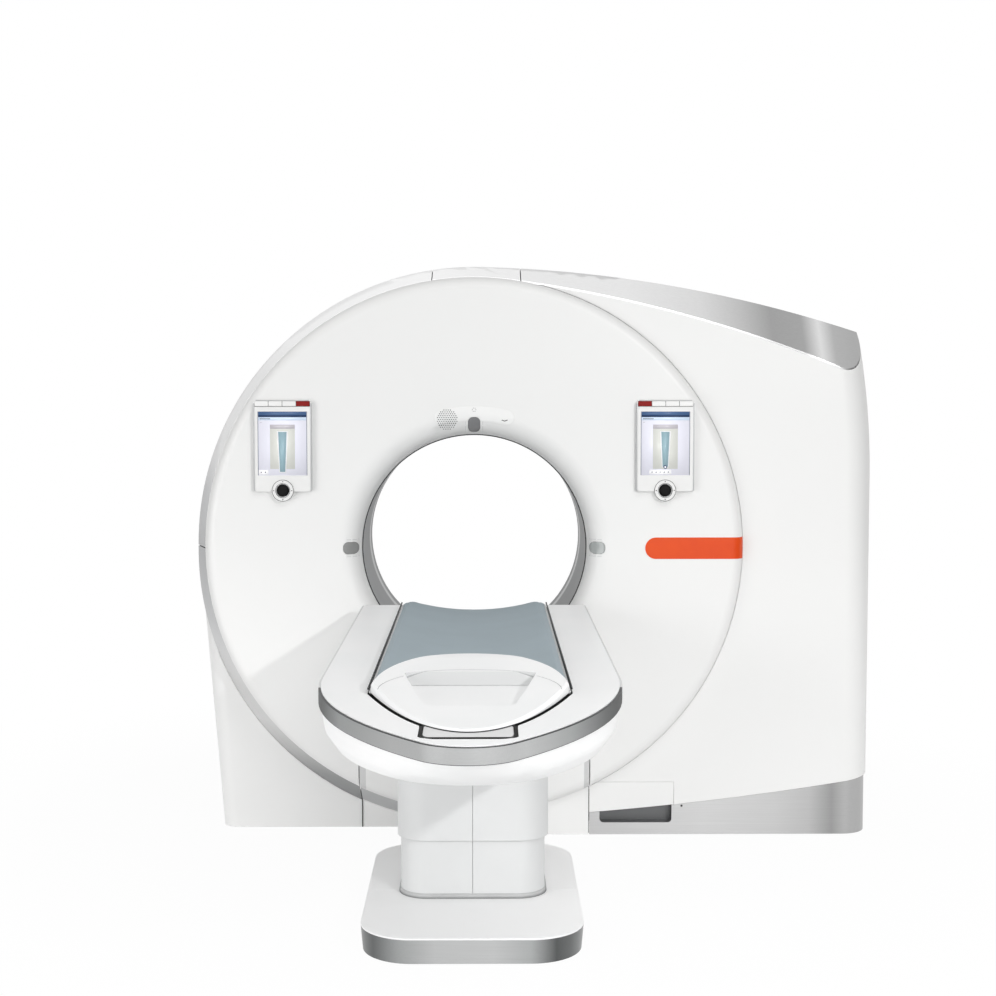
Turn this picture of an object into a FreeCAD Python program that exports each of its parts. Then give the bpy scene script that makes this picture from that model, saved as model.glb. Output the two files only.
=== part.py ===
import FreeCAD, Part
import math
import os

import Sketcher

# CT scanner: a ring-shaped gantry with a patient table in front of its bore.
# Millimetres. X to the right, Y into the bore, Z up. The origin lies on the floor,
# straight under the point where the bore axis crosses the scan plane.

Vector = FreeCAD.Vector
AXIS_X = Vector(1, 0, 0)
AXIS_Y = Vector(0, 1, 0)
AXIS_Z = Vector(0, 0, 1)

SIZES = {
    # gantry covers
    "bore_diameter": 780,
    "iso_height": 1011,
    "disc_floor_gap": 83,
    "disc_front": 480,
    "face_front": 435,
    "shoulder_front": 330,
    "cover_wall": 6,
    "lip_radius": 76,
    "disc_edge_radius": 40,
    "disc_rim_depth": 80,
    "disc_rim_step": 10,
    "disc_gap": 2,
    "seam_gap": 3,
    "cover_floor_gap": 1,
    "roof_rise": 43,
    "lower_ring_drop": 27,
    "wing_radius": 4600,
    "wing_turn_front": 7.3,
    "wing_turn_back": 1.4,
    "wing_side": 1388,
    "wing_side_start": 1250,
    "wing_side_radius": 2600,
    "wing_corner_radius": 100,
    "left_foot": 897,
    "left_side": 977,
    "left_corner_radius": 60,
    "crown_seam_left": 145,
    "crown_seam_right": 160,
    "centre_half_width": 398,
    "centre_drop": 491,
    "centre_step_height": 60,
    "plinth_inset": 8,
    "plinth_end_height": 206,
    "plinth_start_height": 79,
    "plinth_bow": 12,
    "recess_left": 437,
    "recess_width": 252,
    "recess_bottom": 43,
    "recess_depth": 44,
    "recess_corner": 14,
    "door_right": 696,
    "door_top": 186,
    "frame_clearance": 70,
    "fit_gap": 0.8,
    # tunnel
    "liner_wall": 4,
    "scan_window_width": 64,
    "flare_start": 96,
    "flare_mouth": 1010,
    "flare_flange": 30,
    # face details
    "skin_thickness": 1.2,
    "laser_window_radius": 424,
    "laser_window_length": 52,
    "laser_window_width": 42,
    "laser_window_corner": 17,
    "speaker_inner": 436,
    "speaker_outer": 487,
    "speaker_half_width": 110,
    "bar_left": 587,
    "bar_height": 74,
    # control panels
    "panel_inset": 276,
    "panel_rise": 197,
    "panel_height": 312,
    "panel_width": 196,
    "panel_depth": 18,
    "panel_corner": 14,
    "screen_width": 163,
    "screen_height": 216,
    "screen_rise": 55,
    "screen_depth": 3,
    "button_height": 18,
    "button_drop": 4,
    "button_gap": 0.6,
    "button_travel": 2,
    "button_depth": 7,
    "button_proud": 3,
    "stick_rise": 3,
    "stick_ball": 21,
    "gimbal_gap": 0.5,
    "gimbal_wall": 3,
    "gimbal_width": 6,
    "boss_radius": 36.5,
    "boss_proud": 4,
    # frame, bearing and rotor
    "beam_height": 90,
    "foot_height": 20,
    "foot_radius": 45,
    "anchor_hole": 18,
    "anchor_x": 560,
    "anchor_y": 274,
    "beam_width": 100,
    "cover_rail_height": 40,
    "stator_start": 100,
    "stator_plate": 60,
    "stator_clearance": 48,
    "stator_web": 240,
    "bearing_outer_wall": 60,
    "bearing_inner_wall": 70,
    "bearing_gap": 0.3,
    "rotor_plate": 30,
    "rotor_hole_radius": 430,
    "rotor_clearance": 30,
    "rotor_rim_depth": 90,
    "tube_radius": 95,
    "tube_length": 300,
    "tube_clearance": 230,
    "tube_neck_width": 120,
    "tube_neck_depth": 45,
    "tube_neck_reach": 30,
    "detector_clearance": 70,
    "detector_depth": 140,
    "detector_width": 180,
    "tank_clearance": 60,
    "tank_margin": 10,
    "slip_ring_width": 60,
    "slip_ring_depth": 24,
    # table base and column
    "base_width": 622,
    "base_front": 1716,
    "base_back": 792,
    "base_height": 73,
    "base_corner": 150,
    "base_plate": 12,
    "base_wall": 6,
    "base_top_wall": 5,
    "base_taper": 6,
    "table_anchor_x": 225,
    "table_anchor_y": 330,
    "table_anchor_shift": 125,
    "column_width": 424,
    "column_front": 1369,
    "column_depth": 480,
    "column_corner": 80,
    "column_wall": 5,
    "column_step": 10,
    "lower_column_top": 395,
    "mid_column_bottom": 245,
    "mid_column_drop": 210,
    "column_seam": 1,
    "lift_tube_width": 300,
    "lift_tube_depth": 340,
    "lift_tube_wall": 10,
    "slide_gap": 0.3,
    "middle_tube_bottom": 190,
    "middle_tube_drop": 230,
    "inner_tube_length": 404,
    "bracket_drop": 270,
    "flange_reach": 30,
    "bracket_depth": 10,
    "spindle_radius": 22,
    "spindle_top": 380,
    # table top
    "deck_height": 830,
    "deck_width": 752,
    "deck_back": 588,
    "nose_tip": 2766,
    "nose_side_radius": 1150,
    "nose_tip_radius": 133,
    "band_height": 38,
    "band_wall": 6,
    "band_drop": 2,
    "deck_wall": 8,
    "trough_depth": 58,
    "trough_gap": 9,
    "tip_gap": 9,
    "toe_gap": 16,
    "bowl_wall": 5,
    "bowl_depth": 220,
    "bowl_gap": 6,
    # cradle
    "cap_centre": 2190,
    "cap_width": 470,
    "cap_front": 440,
    "cap_rear": 300,
    "cap_base_drop": 40,
    "cap_crest_rise": 48,
    "cap_rim": 50,
    "cap_middle_rise": 26,
    "cap_toe_rise": 6,
    "cap_edge_bevel": 7,
    "cap_fit": 1,
    "grip_rear_width": 320,
    "grip_front_width": 204,
    "grip_rear": 90,
    "grip_crown": 32,
    "grip_step": 76,
    "grip_front": 216,
    "grip_floor_rise": 5,
    "grip_corner": 32,
    "tongue_root": 264,
    "tongue_setback": 90,
    "tongue_rear_width": 206,
    "tongue_front_width": 188,
    "tongue_corner": 30,
    "tongue_depth": 14,
    "tongue_drop": 1,
    "notch_gap": 7,
    "notch_front_gap": 18,
    "cradle_width": 480,
    "cradle_back": 600,
    "cradle_dip": 35,
    "cradle_edge_rise": 4,
    "carriage_width": 360,
    "carriage_front": 2370,
    "carriage_back": 1780,
    "rail_x": 140,
    "rail_width": 30,
    "rail_height": 12,
    "mattress_thickness": 22,
    "mattress_bulge": 3,
    "mattress_draw_in": 10,
}

doc = FreeCAD.newDocument("ct_scanner")
sheet = doc.addObject("Spreadsheet::Sheet", "Sizes")


class Length:
    """A size with the sheet formula that it comes from."""

    def __init__(self, value, formula):
        self.value = float(value)
        self.formula = formula

    def __float__(self):
        return self.value

    def __neg__(self):
        return Length(-self.value, "(0 - %s)" % self.formula)

    def __add__(self, other):
        return joined(self, "+", other, self.value + float(other))

    def __radd__(self, other):
        return joined(other, "+", self, float(other) + self.value)

    def __sub__(self, other):
        return joined(self, "-", other, self.value - float(other))

    def __rsub__(self, other):
        return joined(other, "-", self, float(other) - self.value)

    def __mul__(self, other):
        return joined(self, "*", other, self.value * float(other))

    def __rmul__(self, other):
        return joined(other, "*", self, float(other) * self.value)

    def __truediv__(self, other):
        return joined(self, "/", other, self.value / float(other))


def formula_of(size):
    return size.formula if isinstance(size, Length) else repr(float(size))


def joined(left, sign, right, value):
    return Length(value, "(%s %s %s)" % (formula_of(left), sign, formula_of(right)))


def fill_sheet():
    """Writes one row for each driving dimension and gives its value an alias."""
    sizes = {}
    for row, (name, value) in enumerate(SIZES.items(), start=1):
        sheet.set("A%d" % row, name)
        sheet.set("B%d" % row, str(value))
        sheet.setAlias("B%d" % row, name)
    doc.recompute()
    for name in SIZES:
        sizes[name] = Length(sheet.get(name), "Sizes.%s" % name)
    return sizes


size = fill_sheet()

# ---------------------------------------------------------------- shared sizes

bore_radius = size["bore_diameter"] / 2
iso = size["iso_height"]
disc_radius = iso - size["disc_floor_gap"]
roof_radius = disc_radius + size["roof_rise"]
centre_top = iso - size["centre_drop"]
wall = size["cover_wall"]
disc_face = -size["disc_front"]
face = -size["face_front"]
shoulder = -size["shoulder_front"]
rear_face = size["face_front"]
lip_end = disc_face + size["lip_radius"]
lip_outer = bore_radius + size["lip_radius"]
rim_end = disc_face + size["disc_rim_depth"]
face_ring = disc_radius + size["disc_gap"]
window_half = size["scan_window_width"] / 2
column_middle = -(size["column_front"] - size["column_depth"] / 2)
deck_top = size["deck_height"]
deck_half = size["deck_width"] / 2
trough_floor = deck_top - size["trough_depth"]
cap_base = deck_top - size["cap_base_drop"]
cap_crest = deck_top + size["cap_crest_rise"]
cradle_edge = deck_top + size["cradle_edge_rise"]
mid_column_top = deck_top - size["mid_column_drop"]
trough_half = size["cap_width"] / 2 + size["trough_gap"]
band_top = deck_top - size["band_drop"]
band_bottom = band_top - size["band_height"]
bowl_bottom = band_bottom - size["bowl_depth"]
tip_half = size["cap_width"] / 2 + size["tip_gap"]
tongue_top = deck_top - size["tongue_drop"]
panel_face = disc_face - size["panel_depth"]
panel_x = disc_radius - size["panel_inset"]
panel_bottom = iso + size["panel_rise"]
stick_height = panel_bottom + size["stick_rise"]
stick_pivot = panel_face + size["boss_proud"]
stator_radius = disc_radius - size["stator_clearance"]
rotor_radius = stator_radius - size["rotor_clearance"]
rotor_back = size["stator_start"] - size["rotor_plate"] - size["tank_margin"]
rotor_front = rotor_back - size["rotor_plate"]
bearing_radius = stator_radius - size["stator_web"]
detector_outer = rotor_radius - size["detector_clearance"]
detector_inner = detector_outer - size["detector_depth"]


# ------------------------------------------------------------------ small tools

def point(x, y, z):
    return Vector(float(x), float(y), float(z))


def bind(thing, **formulas):
    """Ties properties to the sheet; a double underscore stands for a dot."""
    for name, value in formulas.items():
        thing.setExpression(name.replace("__", "."), formula_of(value))


def make_box(label, width, depth, height, x, y, z):
    box = doc.addObject("Part::Box", label)
    box.Label = label
    bind(box, Length=width, Width=depth, Height=height)
    bind(box, Placement__Base__x=x, Placement__Base__y=y, Placement__Base__z=z)
    return box


def make_cylinder(label, radius, height, x, y, z, axis=AXIS_Z):
    cylinder = doc.addObject("Part::Cylinder", label)
    cylinder.Label = label
    cylinder.Placement.Rotation = FreeCAD.Rotation(AXIS_Z, axis)
    bind(cylinder, Radius=radius, Height=height)
    bind(cylinder, Placement__Base__x=x, Placement__Base__y=y, Placement__Base__z=z)
    return cylinder


def make_cut(label, base, tool):
    cut = doc.addObject("Part::Cut", label)
    cut.Label = label
    cut.Base = base
    cut.Tool = tool
    return cut


def make_fuse(label, pieces):
    fuse = doc.addObject("Part::MultiFuse", label)
    fuse.Label = label
    fuse.Shapes = pieces
    fuse.Refine = True
    return fuse


def make_feature(label, shape):
    """Keeps a shape that was worked out here as an object of the document."""
    feature = doc.addObject("Part::Feature", label)
    feature.Label = label
    feature.Shape = shape
    feature.Placement = FreeCAD.Placement()
    return feature


def make_body(label, height=0.0):
    body = doc.addObject("PartDesign::Body", label)
    body.Label = label
    bind(body, Placement__Base__z=height)
    return body


def make_sketch(body, plane, name, offset=None):
    """A sketch on one of the body's own planes: XY, XZ (normal -Y) or YZ."""
    sketch = body.newObject("Sketcher::SketchObject", name)
    support = [part for part in body.Origin.OriginFeatures if part.Role == plane + "_Plane"]
    sketch.AttachmentSupport = [(support[0], "")]
    sketch.MapMode = "FlatFace"
    if offset is not None:
        bind(sketch, AttachmentOffset__Base__z=offset)
    return sketch


def hold(sketch, kind, geometry, place, value):
    """Holds one coordinate of a point, or a radius, at a size of the sheet."""
    if kind == "Radius":
        index = sketch.addConstraint(Sketcher.Constraint(kind, geometry, float(value)))
    else:
        index = sketch.addConstraint(
            Sketcher.Constraint(kind, -1, 1, geometry, place, float(value)))
    if isinstance(value, Length):
        sketch.setExpression("Constraints[%d]" % index, value.formula)


def bend_centre(start, end, radius, turn):
    """Centre of the arc from start to end, turning left or right, under a half turn."""
    chord = end - start
    reach = math.sqrt(max(radius ** 2 - (chord.Length / 2) ** 2, 0.0))
    normal = Vector(-chord.y, chord.x, 0).normalize()
    side = 1 if turn == "left" else -1
    return (start + end) * 0.5 + normal * reach * side


def draw_outline(sketch, corners):
    """Closed outline. A corner is (u, v), or (u, v, radius, turn) when an arc leads to it."""
    first = sketch.GeometryCount
    count = len(corners)
    ends = []
    for index, corner in enumerate(corners):
        start = point(corners[index - 1][0], corners[index - 1][1], 0)
        end = point(corner[0], corner[1], 0)
        if len(corner) == 2:
            sketch.addGeometry(Part.LineSegment(start, end), False)
            ends.append((1, 2))
            continue
        radius = float(corner[2])
        centre = bend_centre(start, end, radius, corner[3])
        circle = Part.Circle(centre, AXIS_Z, radius)
        left = corner[3] == "left"
        begin, finish = (start, end) if left else (end, start)
        angles = [math.atan2(p.y - centre.y, p.x - centre.x) for p in (begin, finish)]
        sketch.addGeometry(Part.ArcOfCircle(circle, angles[0], angles[1]), False)
        ends.append((1, 2) if left else (2, 1))
    for index, corner in enumerate(corners):
        following = (index + 1) % count
        sketch.addConstraint(Sketcher.Constraint(
            "Coincident", first + index, ends[index][1], first + following, ends[following][0]))
        hold(sketch, "DistanceX", first + index, ends[index][1], corner[0])
        hold(sketch, "DistanceY", first + index, ends[index][1], corner[1])
        if len(corner) == 4:
            hold(sketch, "Radius", first + index, 0, corner[2])


def draw_circle(sketch, u, v, radius):
    index = sketch.addGeometry(Part.Circle(point(u, v, 0), AXIS_Z, float(radius)), False)
    hold(sketch, "DistanceX", index, 3, u)
    hold(sketch, "DistanceY", index, 3, v)
    hold(sketch, "Radius", index, 0, radius)


def rounded_rectangle(left, bottom, right, top, radius):
    """Outline of a rectangle with four equal rounded corners."""
    return [
        (right - radius, bottom),
        (right, bottom + radius, radius, "left"),
        (right, top - radius),
        (right - radius, top, radius, "left"),
        (left + radius, top),
        (left, top - radius, radius, "left"),
        (left, bottom + radius),
        (left + radius, bottom, radius, "left"),
    ]


def add_pad(body, sketch, length):
    pad = body.newObject("PartDesign::Pad", sketch.Name + "_pad")
    pad.Profile = sketch
    bind(pad, Length=length)
    body.Tip = pad
    return pad


def add_pocket(body, sketch, length, reverse=False):
    """Cuts along the sketch normal turned round, or along the normal when reversed."""
    pocket = body.newObject("PartDesign::Pocket", sketch.Name + "_pocket")
    pocket.Profile = sketch
    pocket.Reversed = reverse
    bind(pocket, Length=length)
    body.Tip = pocket
    return pocket


def revolved_ring(label, corners):
    """Turned piece about the bore axis; corners are (along the bore, out from its axis)."""
    body = make_body(label, iso)
    sketch = make_sketch(body, "YZ", label + "_section")
    draw_outline(sketch, corners)
    turned = body.newObject("PartDesign::Revolution", label + "_turned")
    turned.Profile = sketch
    turned.ReferenceAxis = (sketch, ["H_Axis"])
    turned.Angle = 360
    body.Tip = turned
    return body


def plain_ring(label, start, end, inner, outer):
    return revolved_ring(label, [(start, inner), (end, inner), (end, outer), (start, outer)])


def flat_outline(points, y):
    """Wire in the plane y from corners (x, z) and arcs through (x, z, via x, via z)."""
    edges = []
    for index, corner in enumerate(points):
        start = point(points[index - 1][0], y, points[index - 1][1])
        end = point(corner[0], y, corner[1])
        if len(corner) == 4:
            edges.append(Part.Arc(start, point(corner[2], y, corner[3]), end).toShape())
        else:
            edges.append(Part.makeLine(start, end))
    return Part.Wire(edges)


def prism(points, start, end):
    """Solid between the planes y = start and y = end."""
    along = point(0, float(end) - float(start), 0)
    return Part.Face(flat_outline(points, start)).extrude(along)


def block(x1, y1, z1, x2, y2, z2):
    lengths = (float(x2) - float(x1), float(y2) - float(y1), float(z2) - float(z1))
    return Part.makeBox(*lengths, point(x1, y1, z1))


def bore_cylinder(radius, start, end):
    return Part.makeCylinder(
        float(radius), float(end) - float(start), point(0, start, iso), AXIS_Y)


# ----------------------------------------------------------- front disc and skin

# reach of cutting solids, well beyond the machine
FAR = 3000.0
# how far a cutting solid runs on past a face or a joint, so that no skin is left
OVERRUN = 20.0
# share of the flare's length at the end of each of its straight steps
FLARE_STEPS = (0.35, 0.7, 1.0)
# clock positions in degrees, half widths and depths of the three tanks on the rotor
TANKS = ((46.0, 120.0, 260.0), (-38.0, 110.0, 220.0), (126.0, 90.0, 240.0))
# half of the angle in degrees that each detector bank covers, at the first and second system
DETECTOR_SPREADS = (32.0, 22.0)


def bent(centre_y, centre_radius, radius, first, last, steps):
    """Points of a rounded corner, as (along the bore, out from its axis), in straight steps."""
    points = []
    for step in range(steps + 1):
        angle = math.radians(first + (last - first) * step / steps)
        points.append((centre_y + radius * math.cos(angle), centre_radius + radius * math.sin(angle)))
    return points


LIP_STEPS = 5
EDGE_STEPS = 3


def disc_front_line(raised):
    """Line over the front of the disc, from the bore to its rim, raised off it by a height."""
    lip = bent(lip_end, lip_outer, size["lip_radius"] + raised, 270, 180, LIP_STEPS)
    edge = size["disc_edge_radius"]
    rounded = bent(disc_face + edge, disc_radius - edge, edge + raised, 180, 90, EDGE_STEPS)
    return lip + rounded


def disc_section():
    """Section of the round front moulding: bore lip, flat face, rounded edge and rim."""
    edge = size["disc_edge_radius"]
    rim = disc_radius - size["disc_rim_step"]
    rim_start = disc_face + edge + wall / 2
    return disc_front_line(0.0) + [
        (rim_start, disc_radius),
        (rim_start, rim),
        (rim_end, rim),
        (rim_end, rim - wall),
        (disc_face + edge, rim - wall),
        (disc_face + edge, disc_radius - wall),
        (disc_face + wall, disc_radius - edge),
        (disc_face + wall, lip_outer),
        (lip_end, bore_radius + wall),
    ]


def front_disc_cover():
    """The dished front moulding, open at its foot and slotted for three laser windows."""
    body = revolved_ring("front_disc_cover", disc_section())
    foot = make_sketch(body, "XZ", "disc_foot", size["disc_front"] + wall)
    half = size["centre_half_width"] + size["seam_gap"]
    low = -iso
    high = centre_top + size["seam_gap"] - iso
    draw_outline(foot, [(half, low), (half, high), (-half, high), (-half, low)])
    add_pocket(body, foot, size["disc_rim_depth"] + 3 * wall)
    slot = make_sketch(body, "XZ", "laser_slot", size["disc_front"] + wall)
    draw_outline(slot, laser_outline(0.0))
    pocket = add_pocket(body, slot, size["lip_radius"] + 2 * wall)
    pattern = body.newObject("PartDesign::PolarPattern", "laser_slots")
    pattern.Originals = [pocket]
    pattern.Axis = (slot, ["N_Axis"])
    pattern.Angle = 180
    pattern.Reversed = True
    pattern.Occurrences = 3
    body.Tip = pattern
    return body


def laser_outline(inset):
    """Rounded slot left of the bore, seen along the bore axis from its centre."""
    far = -(size["laser_window_radius"] + size["laser_window_length"] / 2) + inset
    near = -(size["laser_window_radius"] - size["laser_window_length"] / 2) - inset
    half = size["laser_window_width"] / 2 - inset
    return rounded_rectangle(far, -half, near, half, size["laser_window_corner"] - inset)


def ring_about_bore(points):
    """Turned solid about the bore axis from corners (along the bore, out from its axis)."""
    corners = [point(0, along, iso + out) for along, out in points]
    section = Part.Face(Part.makePolygon(corners + corners[:1]))
    return section.revolve(point(0, 0, iso), AXIS_Y, 360)


def disc_skin(offset, depth):
    """Shell that lies on the front of the disc, from the bore lip to the rim."""
    low = disc_front_line(float(offset))
    high = disc_front_line(float(offset) + float(depth))
    return ring_about_bore(low + high[::-1])


def slot_prism(outline, start, end):
    """Solid cut through the disc from an outline in (x, height above the bore axis)."""
    edges = []
    for index, corner in enumerate(outline):
        before = outline[index - 1]
        first = point(before[0], start, iso + before[1])
        last = point(corner[0], start, iso + corner[1])
        if len(corner) == 4:
            flat_first = point(before[0], before[1], 0)
            flat_last = point(corner[0], corner[1], 0)
            centre = bend_centre(flat_first, flat_last, float(corner[2]), corner[3])
            middle = (flat_first + flat_last) * 0.5 - centre
            via = centre + middle.normalize() * float(corner[2])
            arc = Part.Arc(first, point(via.x, start, float(iso) + via.y), last)
            edges.append(arc.toShape())
        else:
            edges.append(Part.makeLine(first, last))
    along = point(0, float(end) - float(start), 0)
    return Part.Face(Part.Wire(edges)).extrude(along)


def laser_windows(skin):
    """Three tinted windows that lie in the slots round the bore lip."""
    outline = laser_outline(size["fit_gap"])
    pane = slot_prism(outline, disc_face - wall, lip_end).common(skin)
    pieces = []
    for turn in (0, 90, 180):
        copy = pane.copy()
        copy.rotate(point(0, 0, iso), AXIS_Y, turn)
        pieces.append(copy)
    return make_feature("laser_windows", Part.makeCompound(pieces))


def speaker_strip(skin):
    """Pale strip over the bore that carries the loudspeaker and microphone holes."""
    inner = size["speaker_inner"]
    outer = size["speaker_outer"]
    middle = (float(inner) + float(outer)) / 2
    half_height = (float(outer) - float(inner)) / 2
    span = math.asin(float(size["speaker_half_width"]) / middle)
    ring = bore_cylinder(outer, disc_face - wall, lip_end).cut(
        bore_cylinder(inner, disc_face - wall, lip_end))
    wedge_x = FAR * math.sin(span)
    wedge_z = FAR * math.cos(span)
    wedge = prism([(0, iso), (-wedge_x, iso + wedge_z), (wedge_x, iso + wedge_z)],
                  disc_face - wall, lip_end)
    strip = ring.common(wedge)
    for sign in (-1, 1):
        centre = point(sign * middle * math.sin(span), disc_face - wall,
                       float(iso) + middle * math.cos(span))
        length = float(lip_end) - float(disc_face) + float(wall)
        strip = strip.fuse(Part.makeCylinder(half_height, length, centre, AXIS_Y))
    hole = slot_prism(laser_outline(-size["fit_gap"]), disc_face - wall, lip_end)
    hole.rotate(point(0, 0, iso), AXIS_Y, 90)
    shape = strip.removeSplitter().cut(hole).common(skin)
    return make_feature("speaker_strip", shape)


def accent_bar(skin):
    """Coloured bar beside the bore: round at its inner end, open at the edge of the disc."""
    half = size["bar_height"] / 2
    left = size["bar_left"]
    outline = [
        (disc_radius + 2 * wall, -half),
        (disc_radius + 2 * wall, half),
        (left + half, half),
        (left, 0.0, half, "left"),
        (left + half, -half, half, "left"),
    ]
    prism_shape = slot_prism(outline, disc_face - wall, disc_face + size["disc_edge_radius"])
    return make_feature("accent_bar", prism_shape.common(skin))


# ------------------------------------------------------------- roof and side covers

def roof_curve(radius, turn, drop):
    """Points of the roof line: round on the left, then a long slow arc over the wing."""
    angle = math.radians(float(turn))
    r = float(radius) - drop
    slow = float(size["wing_radius"]) - drop
    turn_x = r * math.sin(angle)
    turn_z = float(iso) + r * math.cos(angle)
    centre_x = turn_x - slow * math.sin(angle)
    centre_z = turn_z - slow * math.cos(angle)
    reach = float(size["wing_side"]) + 100.0
    end_angle = math.asin((reach - centre_x) / slow)
    half_angle = (angle + end_angle) / 2
    quarter = (angle - math.pi / 2) / 2
    return {
        "left": (-r, float(iso)),
        "left_via": (r * math.sin(quarter), float(iso) + r * math.cos(quarter)),
        "turn": (turn_x, turn_z),
        "wing_via": (centre_x + slow * math.sin(half_angle), centre_z + slow * math.cos(half_angle)),
        "end": (centre_x + slow * math.sin(end_angle), centre_z + slow * math.cos(end_angle)),
    }


ROOF_PLANES = (
    (face, face_ring, size["wing_turn_front"]),
    (shoulder, roof_radius, size["wing_turn_back"]),
    (-shoulder, roof_radius, size["wing_turn_back"]),
    (rear_face, face_ring, size["wing_turn_front"]),
)


def roof_skin():
    """Curved strip over the whole gantry, sloping down to the faces at front and back."""
    wires = []
    for y, radius, turn in ROOF_PLANES:
        top = roof_curve(radius, turn, 0.0)
        under = roof_curve(radius, turn, float(wall))
        wires.append(flat_outline([
            top["left"],
            top["turn"] + top["left_via"],
            top["end"] + top["wing_via"],
            under["end"],
            under["turn"] + under["wing_via"],
            under["left"] + under["left_via"],
        ], y))
    return Part.makeLoft(wires, True, True)


def space_under_roof():
    """Everything below the underside of the roof strip, down past the floor."""
    far_left = -1.25 * float(roof_radius)
    wires = []
    for y, radius, turn in ROOF_PLANES:
        under = roof_curve(radius, turn, float(wall))
        wires.append(flat_outline([
            under["left"],
            under["turn"] + under["left_via"],
            under["end"] + under["wing_via"],
            (under["end"][0], -OVERRUN),
            (far_left, -OVERRUN),
            (far_left, float(iso)),
        ], y))
    return Part.makeLoft(wires, True, True)


def side_top():
    """Where the bowed right side reaches the height above the roof."""
    height = float(iso) + float(roof_radius) + 2 * OVERRUN
    rise = height - float(size["wing_side_start"])
    radius = float(size["wing_side_radius"])
    return height, radius - math.sqrt(radius ** 2 - rise ** 2)


def right_outline(inset):
    """Outline of the right half with its bowed side, from the middle to the side."""
    height, bow = side_top()
    side = float(size["wing_side"]) - inset
    start = float(size["wing_side_start"])
    radius = float(size["wing_side_radius"])
    half_rise = (height - start) / 2
    half_bow = radius - math.sqrt(radius ** 2 - half_rise ** 2)
    return [
        (0.0, height),
        (0.0, -OVERRUN),
        (side, -OVERRUN),
        (side, start),
        (side - bow, height, side - half_bow, start + half_rise),
    ]


def rounded_sides(shape, radius, side_test):
    """Rounds the upright edges that side_test picks."""
    edges = [edge for edge in shape.Edges if side_test(edge)]
    return shape.makeFillet(float(radius), edges)


def along_plane(edge, y):
    return all(abs(vertex.Point.y - float(y)) < 0.01 for vertex in edge.Vertexes)


def right_solid(inset, start, end):
    """Right half of the gantry as a solid, with its upright corners rounded."""
    solid = prism(right_outline(float(inset)), start, end)
    limit = float(size["wing_side"]) - 200.0

    def upright(edge):
        at_end = along_plane(edge, start) or along_plane(edge, end)
        on_side = all(vertex.Point.x > limit for vertex in edge.Vertexes)
        return at_end and on_side and edge.BoundBox.ZLength > 100.0

    return rounded_sides(solid, size["wing_corner_radius"] - inset, upright)


def plinth_top(inset):
    """Corners of the area under the rising top edge of the plinth."""
    left = float(size["centre_half_width"]) + float(size["seam_gap"])
    right = float(size["wing_side"]) + OVERRUN
    low = float(size["plinth_start_height"]) - inset
    high = float(size["plinth_end_height"]) - inset
    middle = (low + high) / 2 - float(size["plinth_bow"])
    return [
        (left, -OVERRUN),
        (right, -OVERRUN),
        (right, high),
        (left, low, (left + right) / 2, middle),
    ]


def lower_ring():
    """Sloping ring strip round the lower left of the disc, widening to the foot."""
    wires = []
    low_centre = float(iso) - float(size["lower_ring_drop"])
    low_radius = math.hypot(float(roof_radius), float(size["lower_ring_drop"]))
    rings = ((face, float(face_ring), float(iso)), (shoulder, low_radius, low_centre))
    for y, radius, centre in rings:
        level = math.sqrt(radius ** 2 - (float(iso) - centre) ** 2)
        thin = radius - float(wall)
        thin_level = math.sqrt(thin ** 2 - (float(iso) - centre) ** 2)
        wires.append(flat_outline([
            (-level, iso),
            (0.0, centre - radius, -radius * math.sqrt(0.5), centre - radius * math.sqrt(0.5)),
            (0.0, centre - thin),
            (-thin_level, iso, -thin * math.sqrt(0.5), centre - thin * math.sqrt(0.5)),
        ], y))
    return Part.makeLoft(wires, True, True)


def lower_ring_hole(clearance):
    """Cylinder that the lower left cover is cut out to."""
    radius = math.hypot(float(roof_radius), float(size["lower_ring_drop"]))
    centre = point(0, face, iso - size["lower_ring_drop"])
    length = float(rear_face) - float(face)
    return Part.makeCylinder(radius + float(clearance), length, centre, AXIS_Y)


def left_outline(inset, overshoot):
    """Outline of the lower left corner, leaning in to its foot."""
    top = float(iso) - float(size["seam_gap"]) + overshoot
    return [
        (-float(size["left_foot"]) + inset, -overshoot),
        (-float(size["left_side"]) + inset, top),
        (0.0, top),
        (0.0, -overshoot),
    ]


def left_solid(inset, start, overshoot):
    solid = prism(left_outline(float(inset), overshoot), start, rear_face - wall)
    limit = -float(size["left_foot"]) + 100.0

    def upright(edge):
        on_side = all(vertex.Point.x < limit for vertex in edge.Vertexes)
        return on_side and along_plane(edge, start) and edge.BoundBox.ZLength > 100.0

    return rounded_sides(solid, size["left_corner_radius"] - inset, upright)


def centre_slab(grow):
    """Upright slab in the middle that the lower centre cover fills."""
    half = float(size["centre_half_width"]) + float(grow)
    top = float(centre_top) + float(grow)
    return block(-half, disc_face - wall, size["cover_floor_gap"], half, -OVERRUN, top)


def above_floor(shape):
    low = float(size["cover_floor_gap"])
    return shape.common(block(-FAR, -FAR, low, FAR, FAR, FAR))


def side_shell():
    """Front plate, rear plate and right side wall, cut to the underside of the roof."""
    outer = right_solid(0.0, face, rear_face)
    inner = right_solid(wall, face + wall, rear_face - wall)
    cavity = inner.fuse(block(-OVERRUN, face + wall, -OVERRUN, FAR / 30, rear_face - wall, FAR))
    shell = outer.cut(cavity)
    return above_floor(shell.common(space_under_roof()))


def wing_region():
    """Area of the wing in front of the middle, right of the disc and over the plinth."""
    region = block(0, face - 1, 0, FAR, 0, FAR)
    region = region.cut(bore_cylinder(face_ring, face - 1, face + 2 * wall))
    return region.cut(centre_slab(size["seam_gap"]))


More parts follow.
